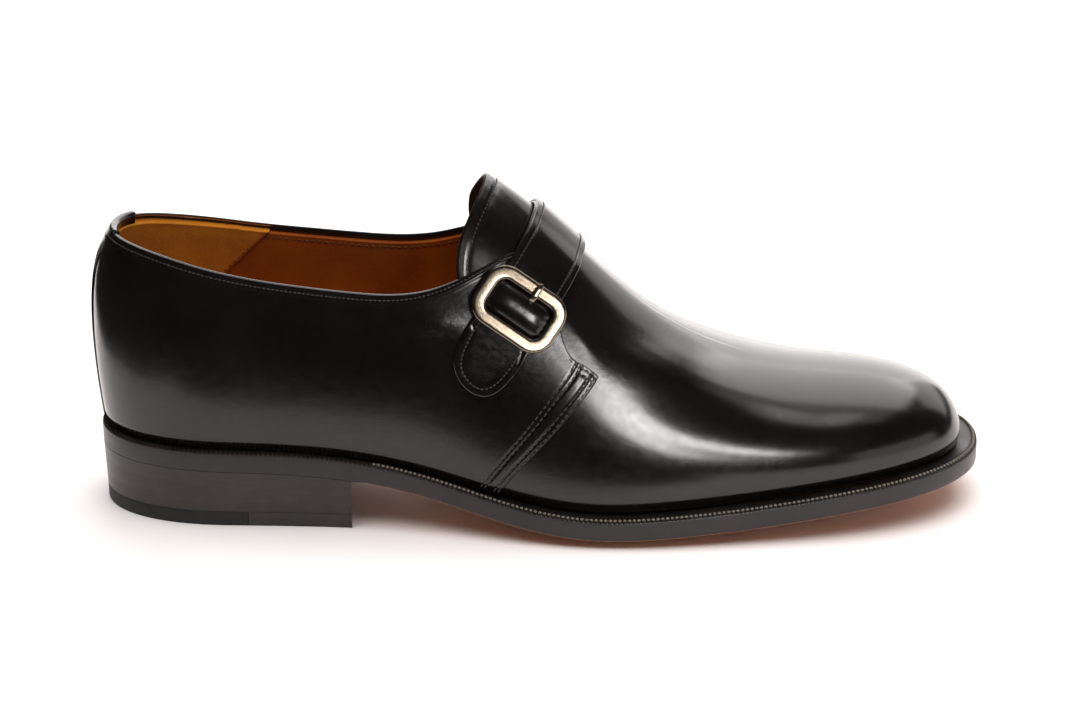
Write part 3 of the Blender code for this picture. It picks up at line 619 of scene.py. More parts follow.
def make_vamp():
    """The vamp and tongue: one smooth lasted skin with a shoulder, puffed beside the quarter."""
    station, over = vamp_grid(columns=240, rows=200)
    base = at_station(station, over)
    from_edge = lengths_along(base, 0)
    x, z = base[..., 0], base[..., 2]
    lift = edge_roll(from_edge, 0.35) - 0.2 * bell(from_edge - TONGUE_STITCH, 0.6) + tucked(base)
    lateral = (over < 1).astype(float)
    cx, long, share, wide, high = SHOULDER
    lift = lift + high * bell(x - cx, long) * bell(np.minimum(over, 2 - over) - share, wide)
    for numbers in VAMP_FOLDS:
        lift = lift + lateral * fold(x, z, *numbers)
    lift = lift + 0.012 * ripple(base, 17.0, 3) * smooth(2.0, 8.0, from_edge)
    worn = wear(x, z, *VAMP_WEAR) * lateral
    obj = grid_object(lifted(station, over, lift), creasing=worn)
    face_out(obj)
    thicken(obj, 1.3, rim=1)
    finish_piece(obj, "vamp_tongue", [CALF, RAW_EDGE], ["upper"])
    s, v = row_at(station.T, over.T, from_edge.T, TONGUE_STITCH)
    shown = np.abs(v - 1) < TONGUE_SEWN
    return [on_last(s[shown], v[shown], -0.12)]


# The vamp's soft shoulders: middle x, length, share over, width and height
SHOULDER = (206.0, 22.0, 0.60, 0.15, 1.2)
# Soft folds beside the quarter's corner: middle x and z, tilt, length, width and height
VAMP_FOLDS = (
    (192.0, 56.0, -0.3, 16.0, 7.0, 1.2),
    (166.0, 68.0, -0.9, 8.0, 2.2, 0.4),
)
# Where the leather is creased by wear: middle x and z, half length, half height and how much
VAMP_WEAR = (178.0, 62.0, 16.0, 16.0 / 1.2, 0.45)
BUCKLE_WEAR = (126.0, 74.0, 16.9, 13.0, 0.8)
CORNER_WEAR = (150.0, 58.0, 13.0, 13.0, 0.35)


def wear(x, z, cx, cz, long, high, much):
    """A soft spot of creasing, drawn on the side view."""
    return much * bell(np.hypot((x - cx) / long, (z - cz) / high), 1.0)


def fold(x, z, cx, cz, tilt, long, wide, high):
    """A soft ridge, or a trough if its height is negative, drawn on the side view."""
    across = (x - cx) * math.cos(tilt) + (z - cz) * math.sin(tilt)
    down = -(x - cx) * math.sin(tilt) + (z - cz) * math.cos(tilt)
    return high * bell(across, long) * bell(down, wide)


def lining_sheet(name, material, station, over, lift):
    """An open sheet on the inside of the last's wall, facing the foot."""
    obj = grid_object(lifted(station, over, lift), weld=False)
    if middle_face(obj).normal[0] < 0:
        flip(obj)
    finish_piece(obj, name, [material], [])


def make_linings():
    """The linings: dark under the tongue, orange tan in the quarters, and a suede grip round the heel."""
    obj = grid_object(lifted(*vamp_grid(columns=110, rows=130), -1.45))
    face_out(obj)
    flip(obj)
    thicken(obj, -0.4)
    finish_piece(obj, "vamp_lining", [TONGUE_LINING], [])
    station, over, from_top = heel_wrap(-1.0, 1.0)
    lining_sheet("quarter_lining", LINING, station, over, lining_lift(from_top))
    collar_row = on_last(*row_at(station.T, over.T, from_top.T, LINING_STITCH), -1.95)
    station, over, from_top = heel_wrap(-GRIP_TURN, GRIP_TURN, GRIP_SLANT)
    base = at_station(station, over)
    from_start, from_end = lengths_along(base, 1), lengths_along(base[:, ::-1], 1)
    inside = smooth(-0.2, 0.9, np.minimum(from_start, from_end[:, ::-1]))
    lift = lining_lift(from_top) - 0.55 * inside - 0.25 * smooth(0.8, 2.5, from_top)
    lining_sheet("heel_grip", GRIP, station, over, lift)
    rows = []
    for grid in ((station, over, from_start), (station[:, ::-1], over[:, ::-1], from_end)):
        s, v = row_at(*grid, GRIP_STITCH)
        rows.append(on_last(s[8:-32], v[8:-32], -2.75))
    return [*rows, collar_row]


GRIP_TURN, GRIP_SLANT = 0.58, 0.28
GRIP_STITCH, LINING_STITCH = 1.2, 4.0
# How far forward the linings reach
LINING_REACH = 127.0


def lining_lift(from_top):
    """The lining's height below the last, with its cut edge tucked behind the collar's bead."""
    return -0.25 - 1.55 * smooth(1.9, 2.7, from_top) - 0.35 * smooth(2.7, 8.0, from_top)


def collar_round(turn, reach):
    """The collar's edge round the heel, for turns from -1, lateral, to 1, medial: station and share over."""
    station = np.abs(turn) * reach
    blend = smooth(-0.04, 0.04, turn)
    return station, collar_over(station, LATERAL) * (1 - blend) + collar_over(station, MEDIAL) * blend


def heel_wrap(start, end, slant=0.0, columns=301, rows=70):
    """A grid round the heel between two turns from -1, lateral, to 1, medial, feather edge to collar."""
    share = (1 - edge_spaced(rows, 30, 0.09))[::-1][:, None]
    lean = slant * (share - 1.0)
    turn = (start - lean) + ((end + lean) - (start - lean)) * np.linspace(0, 1, columns)[None, :]
    station, top = collar_round(turn, float(station_of(LINING_REACH, 0.3)))
    over = np.where(turn < 0, top * share, 2 - top * share)
    return station, over, lengths_along(at_station(station, over)[::-1])[::-1]


# Quarters, with their folded edges and stitch lines

# Distances of the stitch rows from their edges, and how far to each side the tongue's row is sewn
COLLAR_STITCH, TONGUE_STITCH, TONGUE_SEWN = 2.1, 4.0, 0.58
FRONT_ROWS = (0.95, 2.7, 7.0, 8.75)
TOP_ROWS = (1.1, 2.9)
GROOVE_DEEP, GROOVE_HALF = 0.12, 0.4
# Where the rows at the corner's top start and the collar's row ends
CORNER_FROM, COLLAR_TO = 161.0, 142.0


def quarter_grid(side, front_columns, back_columns, rows):
    """Stations and shares over of one quarter, from its front edge to the back seam, feather edge to top."""
    top_x = np.linspace(QUARTER_TOP[-1][0], QUARTER_TOP[0][0], front_columns)
    front_station, front_over = at_side_view(top_x, quarter_top_z(top_x))
    back_station = np.linspace(front_station[-1], SEAM_STATION, back_columns + 1)[1:]
    top_station = np.concatenate([front_station, back_station])
    top_over = np.concatenate([front_over, collar_over(back_station, side)])
    share = ((1 - edge_spaced(rows, 6, 0.016)) ** ROW_SPREAD)[::-1][:, None]
    over = top_over * share
    foot = float(station_of(quarter_front_x(SECTION["feather_z"](QUARTER_FRONT[0][1])), 0.0))
    behind = (top_station[0] - top_station) / (top_station[0] - SEAM_STATION)
    foot_station = foot + (SEAM_STATION - foot) * behind
    station = foot_station + (top_station - foot_station) * share
    front_z = at_station(station[:, 0], over[:, 0])[:, 2]
    wanted = station_of(quarter_front_x(front_z), over[:, 0])
    fade = np.clip(1 - np.arange(top_station.size) / front_columns, 0, 1)
    station = station + (wanted - station[:, 0])[:, None] * fade
    return station, over if side == LATERAL else 2 - over


def make_quarter(name, node, side):
    """A quarter: folded edges, a puffed band between its stitch rows, and soft folds by the buckle."""
    station, over = quarter_grid(side, front_columns=100, back_columns=200, rows=100)
    base = at_station(station, over)
    x, z = base[..., 0], base[..., 2]
    from_front = lengths_along(base, 1)
    from_top = lengths_along(base[::-1], 0)[::-1]
    lift = QUARTER_OUT + edge_roll(from_front, 0.5) + edge_roll(from_top, 0.5) + 1.3 * tucked(base)
    from_front = from_front / (0.78 + 0.22 * smooth(18.0, 52.0, z))
    at_collar = 1 - smooth(138.0, 150.0, x)
    lift = lift - 0.65 * (1 - smooth(0.0, 3.6, from_top)) * at_collar
    for row in FRONT_ROWS:
        lift = lift - GROOVE_DEEP * bell(from_front - row, GROOVE_HALF)
    band = smooth(FRONT_ROWS[1], FRONT_ROWS[1] + 1.4, from_front)
    band = band * (1 - smooth(FRONT_ROWS[2] - 1.4, FRONT_ROWS[2], from_front))
    lift = lift + 0.15 * band * smooth(TOP_ROWS[1], TOP_ROWS[1] + 2.0, from_top)
    by_corner = smooth(CORNER_FROM - 2.0, CORNER_FROM, x) * (1 - smooth(8.8, 9.6, from_front))
    for row in TOP_ROWS:
        lift = lift - GROOVE_DEEP * bell(from_top - row, GROOVE_HALF) * by_corner
    lift = lift - 0.22 * bell(from_top - COLLAR_STITCH, 0.45) * at_collar
    lift = lift + 0.25 * bell(from_top - COLLAR_STITCH - 1.6, 1.1) * at_collar
    if side == LATERAL:
        for numbers in FOLDS:
            lift = lift + fold(x, z, *numbers)
    lift = lift + 0.012 * ripple(base, 16.0, 5 + side)
    worn = wear(x, z, *BUCKLE_WEAR) * (side == LATERAL) + wear(x, z, *CORNER_WEAR)
    obj = grid_object(lifted(station, over, lift), creasing=np.clip(worn, 0, 1))
    face_out(obj)
    thicken(obj, QUARTER_THICK * 0.8)
    finish_piece(obj, name, [CALF], [node])
    rows = []
    for distance in FRONT_ROWS:
        s, v = row_at(station, over, from_front, distance)
        rows.append(on_last(s[2:-5], v[2:-5], QUARTER_OUT - 0.02))
    for distance in TOP_ROWS:
        s, v = row_at(station.T, over.T, from_top.T, distance)
        near = at_station(s, v)[:, 0] > CORNER_FROM
        rows.append(on_last(s[near], v[near], QUARTER_OUT - 0.02))
    s, v = row_at(station.T, over.T, from_top.T, COLLAR_STITCH)
    near = at_station(s, v)[:, 0] < COLLAR_TO
    return rows, [on_last(s[near], v[near], QUARTER_OUT - 0.3)]


# Soft folds of the outer quarter by the buckle: middle x and z, tilt, length, width and height
FOLDS = (
    (118.0, 73.0, -0.12, 8.0, 4.2, 1.0),
    (135.0, 72.0, -0.10, 6.0, 5.0, -0.8),
    (140.0, 84.0, 0.2, 6.0, 4.0, -0.35),
)


def row_at(station, over, distance, wanted):
    """The line of a grid's rows at a distance from their start or end, as stations and shares over."""
    line = []
    for d, *pair in zip(distance, station, over):
        step = 1 if d[0] < d[-1] else -1
        line.append([np.interp(wanted, d[::step], values[::step]) for values in pair])
    return np.array(line).T


def make_stitches(name, rows, material, pitch, long, thick):
    """Rows of stitches: one small capsule, copied along each row and half sunk in its groove."""
    bpy.ops.mesh.primitive_uv_sphere_add(segments=8, ring_count=6, radius=1.0)
    pattern = bpy.context.object
    shape = np.array([v.co[:] for v in pattern.data.vertices])[:, [2, 0, 1]] * (long, thick, thick) / 2
    faces = [tuple(p.vertices) for p in pattern.data.polygons]
    bpy.data.objects.remove(pattern)
    points, all_faces = [], []
    for path, normals in rows:
        run = lengths_along(path)
        for at in np.arange(pitch, run[-1] - pitch / 2, pitch):
            here, later, up = (
                np.array([np.interp(distance, run, column) for column in line.T])
                for distance, line in ((at, path), (at + 0.3, path), (at, normals))
            )
            ahead = unit(later - here)
            side = unit(np.cross(up, ahead))
            start = len(points) * len(shape)
            points.append(here + shape @ np.stack([ahead, side, np.cross(ahead, side)]))
            all_faces += [tuple(i + start for i in face) for face in faces]
    mesh = bpy.data.meshes.new(name)
    mesh.from_pydata(((np.concatenate(points) - MIDDLE) * MM).tolist(), [], all_faces)
    obj = bpy.data.objects.new(name, mesh)
    bpy.context.scene.collection.objects.link(obj)
    finish_piece(obj, name, [material], [])


def on_last(station, over, height):
    """A path on the last with its outward directions."""
    station, over = arrays(station, over)
    return lifted(station, over, height), normal_at(station, over)


# Collar, back strip


def capped(rings):
    """The rings of a tube, closed at both ends."""
    middle = np.broadcast_to(rings.mean(axis=1, keepdims=True), rings.shape)
    return np.concatenate([middle[:1], rings, middle[-1:]])


def make_collar_roll():
    """The collar's turned edge: quarter and lining folded together into one soft bead."""
    turn = np.linspace(-1, 1, 420)
    station, over = collar_round(turn, float(station_of(COLLAR_REACH, 0.6)))
    over = np.where(turn < 0, over, 2 - over)
    base, out = at_station(station, over), normal_at(station, over)
    up = unit(np.cross(np.gradient(base, axis=0), out))
    up = np.where(up[:, 2:] < 0, -up, up)
    ring = np.linspace(0, 2 * math.pi, 21)[:, None]
    away, rise = COLLAR_HALF * np.cos(ring), COLLAR_RISE * np.sin(ring) - COLLAR_SINK
    obj = grid_object(capped(base[:, None] + out[:, None] * away + up[:, None] * rise))
    finish_piece(obj, "collar_roll", [CALF], [])


# The bead: how far forward it goes, half its thickness, half its height and how far it is sunk
COLLAR_REACH, COLLAR_HALF, COLLAR_RISE, COLLAR_SINK = 144.0, 0.95, 1.35, 1.15


def make_back_strip():
    """The strip over the back seam: it widens upwards and folds over the collar's edge to the inside."""
    climb, columns = np.linspace(0, 1, 110), np.linspace(-1, 1, 61)
    low, high = SECTION["feather_z"](0.0) + 0.4, collar_z[LATERAL](0.0) - 0.9
    middle_over = over_of(np.zeros(climb.shape), low + (high - low) * climb)
    none = np.zeros(climb.shape)
    reach = []
    for spread in STRIP_SPREADS:
        half = STRIP_HALF + spread * smooth(0.76, 1.0, climb)
        reach.append(solve(lambda s: -at_station(s, middle_over)[..., 1] - half, none, none + 0.25)[:, None])
    lateral = (columns < 0)[None, :]
    station = np.abs(columns)[None, :] * np.where(lateral, *reach)
    top = np.where(lateral, collar_over(station, LATERAL), collar_over(station, MEDIAL))
    over = np.minimum(over_of(station, low + (high - low) * climb[:, None]), top)
    sided = np.where(lateral, over, 2 - over)
    base = at_station(station, sided)
    from_side = np.minimum(lengths_along(base, 1), lengths_along(base[:, ::-1], 1)[:, ::-1])
    lift = STRIP_OUT - 0.35 - 1.0 * smooth(0.86, 1.0, climb)[:, None]
    lift = lift + edge_roll(from_side, 0.7) - 0.15 * bell(from_side - 1.6, 0.4)
    outside = lifted(station, sided, lift)
    edge, out, start = base[-1], normal_at(station[-1], sided[-1]), lift[-1]
    up = np.array([0.0, 0.0, 1.0]) - out * out[:, 2:]
    fold_rows = []
    for turn in np.linspace(0, math.pi, 18)[1:]:
        away = (start - STRIP_INSIDE) / 2 + (start + STRIP_INSIDE) / 2 * math.cos(turn)
        fold_rows.append(edge + out * away[:, None] + up * STRIP_CREST * math.sin(turn))
    for drop in np.linspace(0.5, 6.0, 12):
        fold_rows.append(edge - out * (STRIP_INSIDE + 0.12 * drop) - up * drop)
    obj = grid_object(np.concatenate([outside, np.array(fold_rows)]))
    low_on_the_back = 40 * (columns.size - 1) + columns.size // 2
    if obj.data.polygons[low_on_the_back].normal[0] > 0:
        flip(obj)
    thicken(obj, 0.7)
    finish_piece(obj, "back_seam_strip", [CALF], ["back_strip"])


# Half the strip's width, how much wider it is at its top to the lateral and to the medial side, how far
# inside the last its folded end lies, and how far the fold rises above the collar
STRIP_HALF, STRIP_SPREADS, STRIP_INSIDE, STRIP_CREST = 2.9, (6.0, 12.0), 1.7, 1.75


# Strap and buckle


# Across the strap towards the toe, and down it, as columns in the side view's x and z
STRAP_AXES = np.array([
    [math.cos(STRAP_TILT), -math.sin(STRAP_TILT)],
    [-math.sin(STRAP_TILT), -math.cos(STRAP_TILT)],
])


def in_strap(points):
    """Points in the strap's own directions, across and down."""
    return points[..., [0, 2]] @ STRAP_AXES


def strap_station(across_at, over):
    """The station where a line along the strap meets a share over."""
    low, high = (np.full(np.shape(over), station) for station in STRAP_STATIONS)
    return solve(lambda s: in_strap(at_station(s, over))[..., 0] - across_at, low, high)


def strap_over(across_at, down_at):
    """How far over the lateral side points in the strap's own directions lie."""
    across_at, down_at = arrays(across_at, down_at)

    def depth(over):
        return down_at - in_strap(at_station(strap_station(across_at, over), over))[..., 1]

    return solve(depth, np.full(across_at.shape, STRAP_OVER_FROM), np.ones(across_at.shape), 26)


def strap_base(over):
    """How high the strap's underside lies: on the shell at the instep and on the quarters beside it."""
    on_quarter = np.maximum(1 - smooth(0.70, 0.86, over), smooth(1.22, 1.36, over))
    return STRAP_ON_SHELL + (STRAP_ON_QUARTER - STRAP_ON_SHELL) * on_quarter


def strap_hump(depth, over):
    """1 over the buckle's pin, falling to 0 just short of the frame's bars."""
    away = np.clip(np.abs(depth - BUCKLE_DOWN) / HUMP_HALF, 0, 1)
    return np.where(over < 1, 1 - away**2.1, 0.0)


HUMP_HALF = 6.3


def strap_edge_distance(flat, over, left, right):
    """Distance of the strap's points from its own edge, round the tip as well as along the sides."""
    gap = np.linalg.norm(flat[..., None, :] - TIP_LINE[::2], axis=-1).min(-1)
    at_tip = (over < 1) & (flat[..., 1] > STRAP_TIP[0][1] - 8.0)
    return np.minimum(np.minimum(left, right), np.where(at_tip, gap, 99.0))


def make_strap():
    """The strap: two layers, sewn inside their dressed edges, with a hump over the pin and a creased tip."""
    columns = STRAP_NEAR + (STRAP_FAR - STRAP_NEAR) * (0.5 - 0.5 * np.cos(np.linspace(0, math.pi, 66)))
    tip, below, above = (
        strap_over(columns, down) for down in (strap_tip_down(columns), BUCKLE_DOWN + 7.0, BUCKLE_DOWN - 7.0)
    )
    over = np.concatenate([
        tip + (below - tip) * edge_spaced(80, 9, 0.05)[:-1, None],
        below + (above - below) * np.linspace(0, 1, 64, endpoint=False)[:, None],
        above + (STRAP_MEDIAL_END - above) * np.linspace(0, 1, 150)[:, None],
    ])
    station = strap_station(np.broadcast_to(columns, over.shape), over)
    base = at_station(station, over)
    left = lengths_along(base, 1)
    right = lengths_along(base[:, ::-1], 1)[:, ::-1]
    flat = in_strap(base)
    depth = flat[..., 1]
    from_edge = strap_edge_distance(flat, over, left, right)
    hump, bottom = strap_hump(depth, over), strap_base(over)
    bottom = bottom + (STRAP_OVER_PIN - bottom) * hump
    bottom = bottom - 2.0 * hump * np.abs((left - right) / (left + right)) ** 4
    lift = bottom + STRAP_THICK + edge_roll(from_edge, 0.45)
    sewn = 1 - smooth(0.1, 0.5, hump)
    lift = lift + sewn * (-0.13 * bell(from_edge - STRAP_STITCH, 0.4) + 0.04 * bell(from_edge - 1.3, 0.6))
    creased = smooth(BUCKLE_DOWN + 9.0, BUCKLE_DOWN + 15.0, depth) * (over < 1) * smooth(3.0, 6.0, from_edge)
    waves = np.sin(2.4 * (depth + 0.5 * base[..., 0]) + 1.3 * ripple(base, 6.0, 21))
    waves = waves * (0.6 + 0.4 * ripple(base, 7.0, 4))
    lift = lift + creased * (0.045 * waves + 0.02 * ripple(base, 2.5, 8))
    tight = hump * (1 - smooth(0.5, 4.0, from_edge))
    lift = lift + tight * 0.12 * np.sin(depth * 3.2)
    worn = np.clip(0.9 * creased + 0.35 * hump, 0, 1)
    halfway = lifted(station, over, bottom + STRAP_THICK * 0.5)
    obj = closed_band(lifted(station, over, lift), halfway, creasing=worn)
    finish_piece(obj, "instep_strap", [CALF], ["strap"])
    under = lifted(station, over, bottom + STRAP_THICK * 0.04)
    obj = closed_band(lifted(station, over, bottom + STRAP_THICK * 0.46 + edge_roll(from_edge, 0.3)), under)
    finish_piece(obj, "strap_backing", [CALF], [])
    return strap_rows()


def strap_rows():
    """The strap's stitch lines: round the tip inside its edge, and up both sides above the buckle."""
    high = BUCKLE_DOWN + HUMP_HALF + 1.0
    outline = np.array([(STRAP_NEAR, high), *TIP_LINE, (STRAP_FAR, high)])
    outline = rounded_line(outline, blur=0.4)
    ahead = np.gradient(outline, axis=0)
    inward = unit(np.stack([ahead[:, 1], -ahead[:, 0]], -1))
    middle = np.array([(STRAP_NEAR + STRAP_FAR) / 2, -126.0])
    inward = inward * np.sign(np.sum(inward * (middle - outline), -1, keepdims=True))
    line = outline + inward * STRAP_STITCH
    gap = np.linalg.norm(line[:, None] - outline[None], axis=-1).min(-1)
    line = line[gap > STRAP_STITCH - 0.05]
    over = strap_over(line[:, 0], line[:, 1])
    rows = [(strap_station(line[:, 0], over), over)]
    for across in (STRAP_NEAR + STRAP_STITCH, STRAP_FAR - STRAP_STITCH):
        start = float(strap_over(across, BUCKLE_DOWN - HUMP_HALF - 1.0))
        over = np.linspace(start, STRAP_MEDIAL_END - 0.01, 240)
        rows.append((strap_station(np.full(over.shape, across), over), over))
    return [on_last(s, v, strap_base(v) + STRAP_THICK - 0.04) for s, v in rows]


STRAP_STITCH = 2.5


def buckle_axes():
    """A function from (across, down, lift) about the buckle's centre to points of the shoe."""
    def near(across, down, reach=8.0):
        over = strap_over(BUCKLE_ACROSS + across * reach, BUCKLE_DOWN + down * reach)
        return at_station(strap_station(BUCKLE_ACROSS + across * reach, over), over)

    centre, across, down = near(0, 0), unit(near(1, 0) - near(-1, 0)), near(0, 1) - near(0, -1)
    lift = unit(np.cross(across, down))
    lift = lift if lift[1] < 0 else -lift
    down = np.cross(lift, across)
    axes = np.stack([across, down if down[2] < 0 else -down, lift])
    return lambda a, d, h: centre + np.stack(arrays(a, d, h), -1) @ axes


def rounded_rectangle(long, short, corner, per_corner=16):
    """Points round a rectangle with round corners, the first one again at the end."""
    points = []
    for sx, sy, start in ((1, 1, 0), (-1, 1, 90), (-1, -1, 180), (1, -1, 270)):
        angle = np.radians(start + np.linspace(0, 90, per_corner))
        middle = np.array([sx * (long / 2 - corner), sy * (short / 2 - corner)])
        points.append(middle + corner * np.stack([np.cos(angle), np.sin(angle)], -1))
    return np.concatenate([*points, points[0][:1]])


def eased(share, power):
    """A share from -1 to 1 raised to a power, with its sign kept: flattens a circle's sides."""
    return np.sign(share) * np.abs(share) ** power


def make_buckle():
    """The cast frame, flat on top with its edges eased, its middle pin, and the flat prong on the frame."""
    place = buckle_axes()
    half = BUCKLE_BAR / 2
    turn = np.linspace(0, 2 * math.pi, 41)
    lift = BUCKLE_LIFT + BUCKLE_BAR_HIGH / 2 * (1 + eased(np.sin(turn), 0.6))
    rings = np.array([
        rounded_rectangle(BUCKLE_LONG + 2 * grow, BUCKLE_SHORT + 2 * grow, BUCKLE_CORNER + grow)
        for grow in half * eased(np.cos(turn), 0.5) - half
    ])
    obj = grid_object(place(rings[..., 0], rings[..., 1], lift[:, None]))
    finish_piece(obj, "buckle_ring", [NICKEL], ["buckle_frame"])
    reach, ring = BUCKLE_LONG / 2 - half, np.linspace(0, 2 * math.pi, 17)
    along = np.array([[-reach], [-reach], [reach], [reach]])
    radius = np.array([[0.0], [PIN_RADIUS], [PIN_RADIUS], [0.0]])
    obj = grid_object(place(along, radius * np.cos(ring), PIN_LIFT + radius * np.sin(ring)))
    finish_piece(obj, "buckle_pin", [NICKEL], [], 40)
    make_prong(place)


# The prong's middle line: down the strap from the pin, height, half width and half thickness
PRONG = (
    (1.5, 3.2, 0.9, 0.45), (0.9, 2.65, 1.0, 0.5), (0.0, 2.4, 1.0, 0.5), (-1.1, 2.65, 1.0, 0.5),
    (-2.4, 3.7, 1.0, 0.5), (-3.6, 5.5, 1.05, 0.5), (-4.6, 7.2, 1.1, 0.55), (-6.0, 8.05, 1.15, 0.6),
    (-7.6, 8.2, 1.15, 0.62), (-9.2, 8.15, 1.1, 0.6), (-10.4, 7.95, 0.95, 0.5), (-11.0, 7.7, 0.6, 0.35),
)


def make_prong(place):
    """The prong: a flat bar bent round the pin, its tip on the frame."""
    table = np.array(PRONG)
    fine = np.linspace(0, len(table) - 1, 60)
    down, lift, wide, thick = (np.interp(fine, np.arange(len(table)), column)[:, None] for column in table.T)
    for line in (down, lift) * 3:
        line[1:-1] = (line[:-2] + 2 * line[1:-1] + line[2:]) / 4
    ahead = unit(np.gradient(np.concatenate([down, lift], -1), axis=0))
    ring = np.linspace(0, 2 * math.pi, 25)
    across = PRONG_ACROSS - BUCKLE_ACROSS + wide * eased(np.cos(ring), 0.7)
    away = thick * eased(np.sin(ring), 0.8)
    obj = grid_object(capped(place(across, down - ahead[:, 1:] * away, lift + ahead[:, :1] * away)))
    finish_piece(obj, "buckle_prong_bar", [NICKEL], ["buckle_prong"])


# Sole


def sole_outline(station, side, widths):
    """The feather edge's outline moved outwards by a width that depends on x and side."""
    step = 1e-4
    over = 0.0 if side == LATERAL else 2.0
    here = at_station(station, over)[..., :2]
    tangent = (at_station(station + step, over) - at_station(station - step, over))[..., :2]
    normal = unit(np.stack([tangent[..., 1], -tangent[..., 0]], -1) * -side)
    ahead = np.array([1.0, 0.0])
    normal = np.where((station > 0.9999)[..., None], ahead, normal)
    normal = np.where((station < 0.0001)[..., None], -ahead, normal)
    return here + normal * widths(here[..., 0], side)[..., None]


def edge_width(less=0.0, at_heel=None):
    """The sole's width outside the feather edge, less an amount that can be another one over the heel."""
    at_heel = less if at_heel is None else at_heel

    def width(x, side):
        return sole_edge_width[side](x) - at_heel - (less - at_heel) * smooth(BREAST_X, BREAST_X + 8.0, x)

    return width


def inset(width):
    """An even width inside the feather edge."""
    return lambda x, side: np.full(np.shape(x), -width)


def welt_top(x):
    """The height of the welt's top."""
    return SECTION["feather_z"](x) - GAP


def outsole_top(x):
    """The height of the outsole's top."""
    return welt_top(x) - WELT_THICK - GAP


def outsole_edge_bottom(x):
    """The height of the outsole's lower edge."""
    return outsole_top(x) - OUTSOLE_THICK


def tread(x, shares):
    """The outsole's underside: flat on the floor at the ball, and lifted towards its edges."""
    middle = np.where(x < FLAT_TO, waist_tread(x), toe_tread(x))
    middle = np.where((x > FLAT_FROM) & (x < FLAT_TO), 0.0, middle)
    edge = outsole_edge_bottom(x)
    middle = np.where(x < WAIST_TREAD[0][0], edge, np.minimum(middle, edge))
    flat = (1 - smooth(0.45, 1.0, np.abs(shares))) * (1 - smooth(CROWN_END, TOE_TIP, x))
    return edge + (middle - edge) * flat


def loop_outline(count, widths):
    """A closed line round the sole, from the heel along the lateral side and back along the medial one."""
    station = np.linspace(0, 1, count)
    lateral = sole_outline(station, LATERAL, widths)
    medial = sole_outline(station, MEDIAL, widths)[::-1]
    outline = np.concatenate([lateral[:-1], medial])
    outline[-1] = outline[0]
    return outline


def make_welt():
    """The welt: wheeled across into fine ribs along its top, with a rounded and inked edge."""
    spine = loop_outline(WELT_COLUMNS, edge_width())
    run = lengths_along(spine)
    # A whole number of ribs, so that the strip's ends meet at the back
    turns = round(run[-1] / RIB_PITCH) * run / run[-1]
    rib = (0.5 - 0.5 * np.cos(2 * math.pi * turns)) ** 0.7
    rings = []
    for widths, drop, ribbed in WELT_PROFILE:
        outline = loop_outline(WELT_COLUMNS, widths)
        z = welt_top(outline[:, 0]) + drop - ribbed * rib
        rings.append(np.concatenate([outline, z[:, None]], -1))
    obj = grid_object(np.array([*rings, rings[0]]), weld=False)
    inked = np.repeat(np.arange(len(rings)) >= WELT_EDGE, len(spine) - 1)
    obj.data.polygons.foreach_set("material_index", inked.astype(np.int32))
    join_seams(obj)
    finish_piece(obj, "welt_strip", [WELT, SOLE_EDGE_INK], ["welt"], 60)
    path = loop_outline(WELT_COLUMNS, edge_width(WELT_STITCH))
    path = np.concatenate([path, welt_top(path[:, :1]) + 0.1], -1)
    path = path[path[:, 0] > WELT_SEWN_FROM]
    return [(path, np.broadcast_to(np.array([0.0, 0.0, 1.0]), path.shape))]


RIB_PITCH, WELT_COLUMNS = 1.6, 2000
# How far inside the welt's edge its stitches lie, and where they start
WELT_STITCH, WELT_SEWN_FROM = 1.1, BREAST_X + 6.0
# The welt's section, from its inner top edge outwards: width, height over the top, and depth of the ribs
WELT_PROFILE = (
    (inset(WELT_INSET), -0.2, 0.0), (edge_width(5.0), -0.3, 0.0), (edge_width(3.4), -0.35, 0.0),
    (edge_width(2.7), -0.25, 0.0), (edge_width(2.3), 0.05, 0.15), (edge_width(1.7), 0.14, 0.42),
    (edge_width(0.9), 0.1, 0.46), (edge_width(0.35), -0.1, 0.34), (edge_width(0.0), -0.5, 0.08),
    (edge_width(-0.05), -0.9, 0.0), (edge_width(-0.05), -2.7, 0.0), (edge_width(2.5), -2.75, 0.0),
    (inset(WELT_INSET), -2.75, 0.0),
)
# The ring of the profile where the inked edge begins
WELT_EDGE = 8


def plate_levels(levels, end_along, hollow=0.0, start_along=0.0, columns=120, across=41):
    """Grids of a plate in the sole's outline, for (edge widths, height) from the bottom up."""
    shares = np.linspace(-1, 1, across)
    ends = end_along - hollow * (1 - shares**2)
    last = solve(lambda s: along_of(s) - ends, np.zeros(across), np.ones(across))
    if end_along >= TOE_TIP:
        last = np.ones(across)
    first = float(solve(lambda s: along_of(s) - start_along, 0.0, 1.0)) if start_along else 0.0
    station = first + (last - first) * np.linspace(0, 1, columns)[:, None]
    grids = []
    for widths, height in levels:
        low, high = sole_outline(station, LATERAL, widths), sole_outline(station, MEDIAL, widths)
        points = low + (high - low) * ((shares + 1) / 2)[None, :, None]
        grids.append(np.concatenate([points, height(points[..., 0], shares)[..., None]], -1))
    return grids


def rim(grid):
    """The points round a grid, the first one again at the end."""
    return np.concatenate([grid[0], grid[1:, -1], grid[-1, -2::-1], grid[-2:0:-1, 0], grid[:1, 0]])


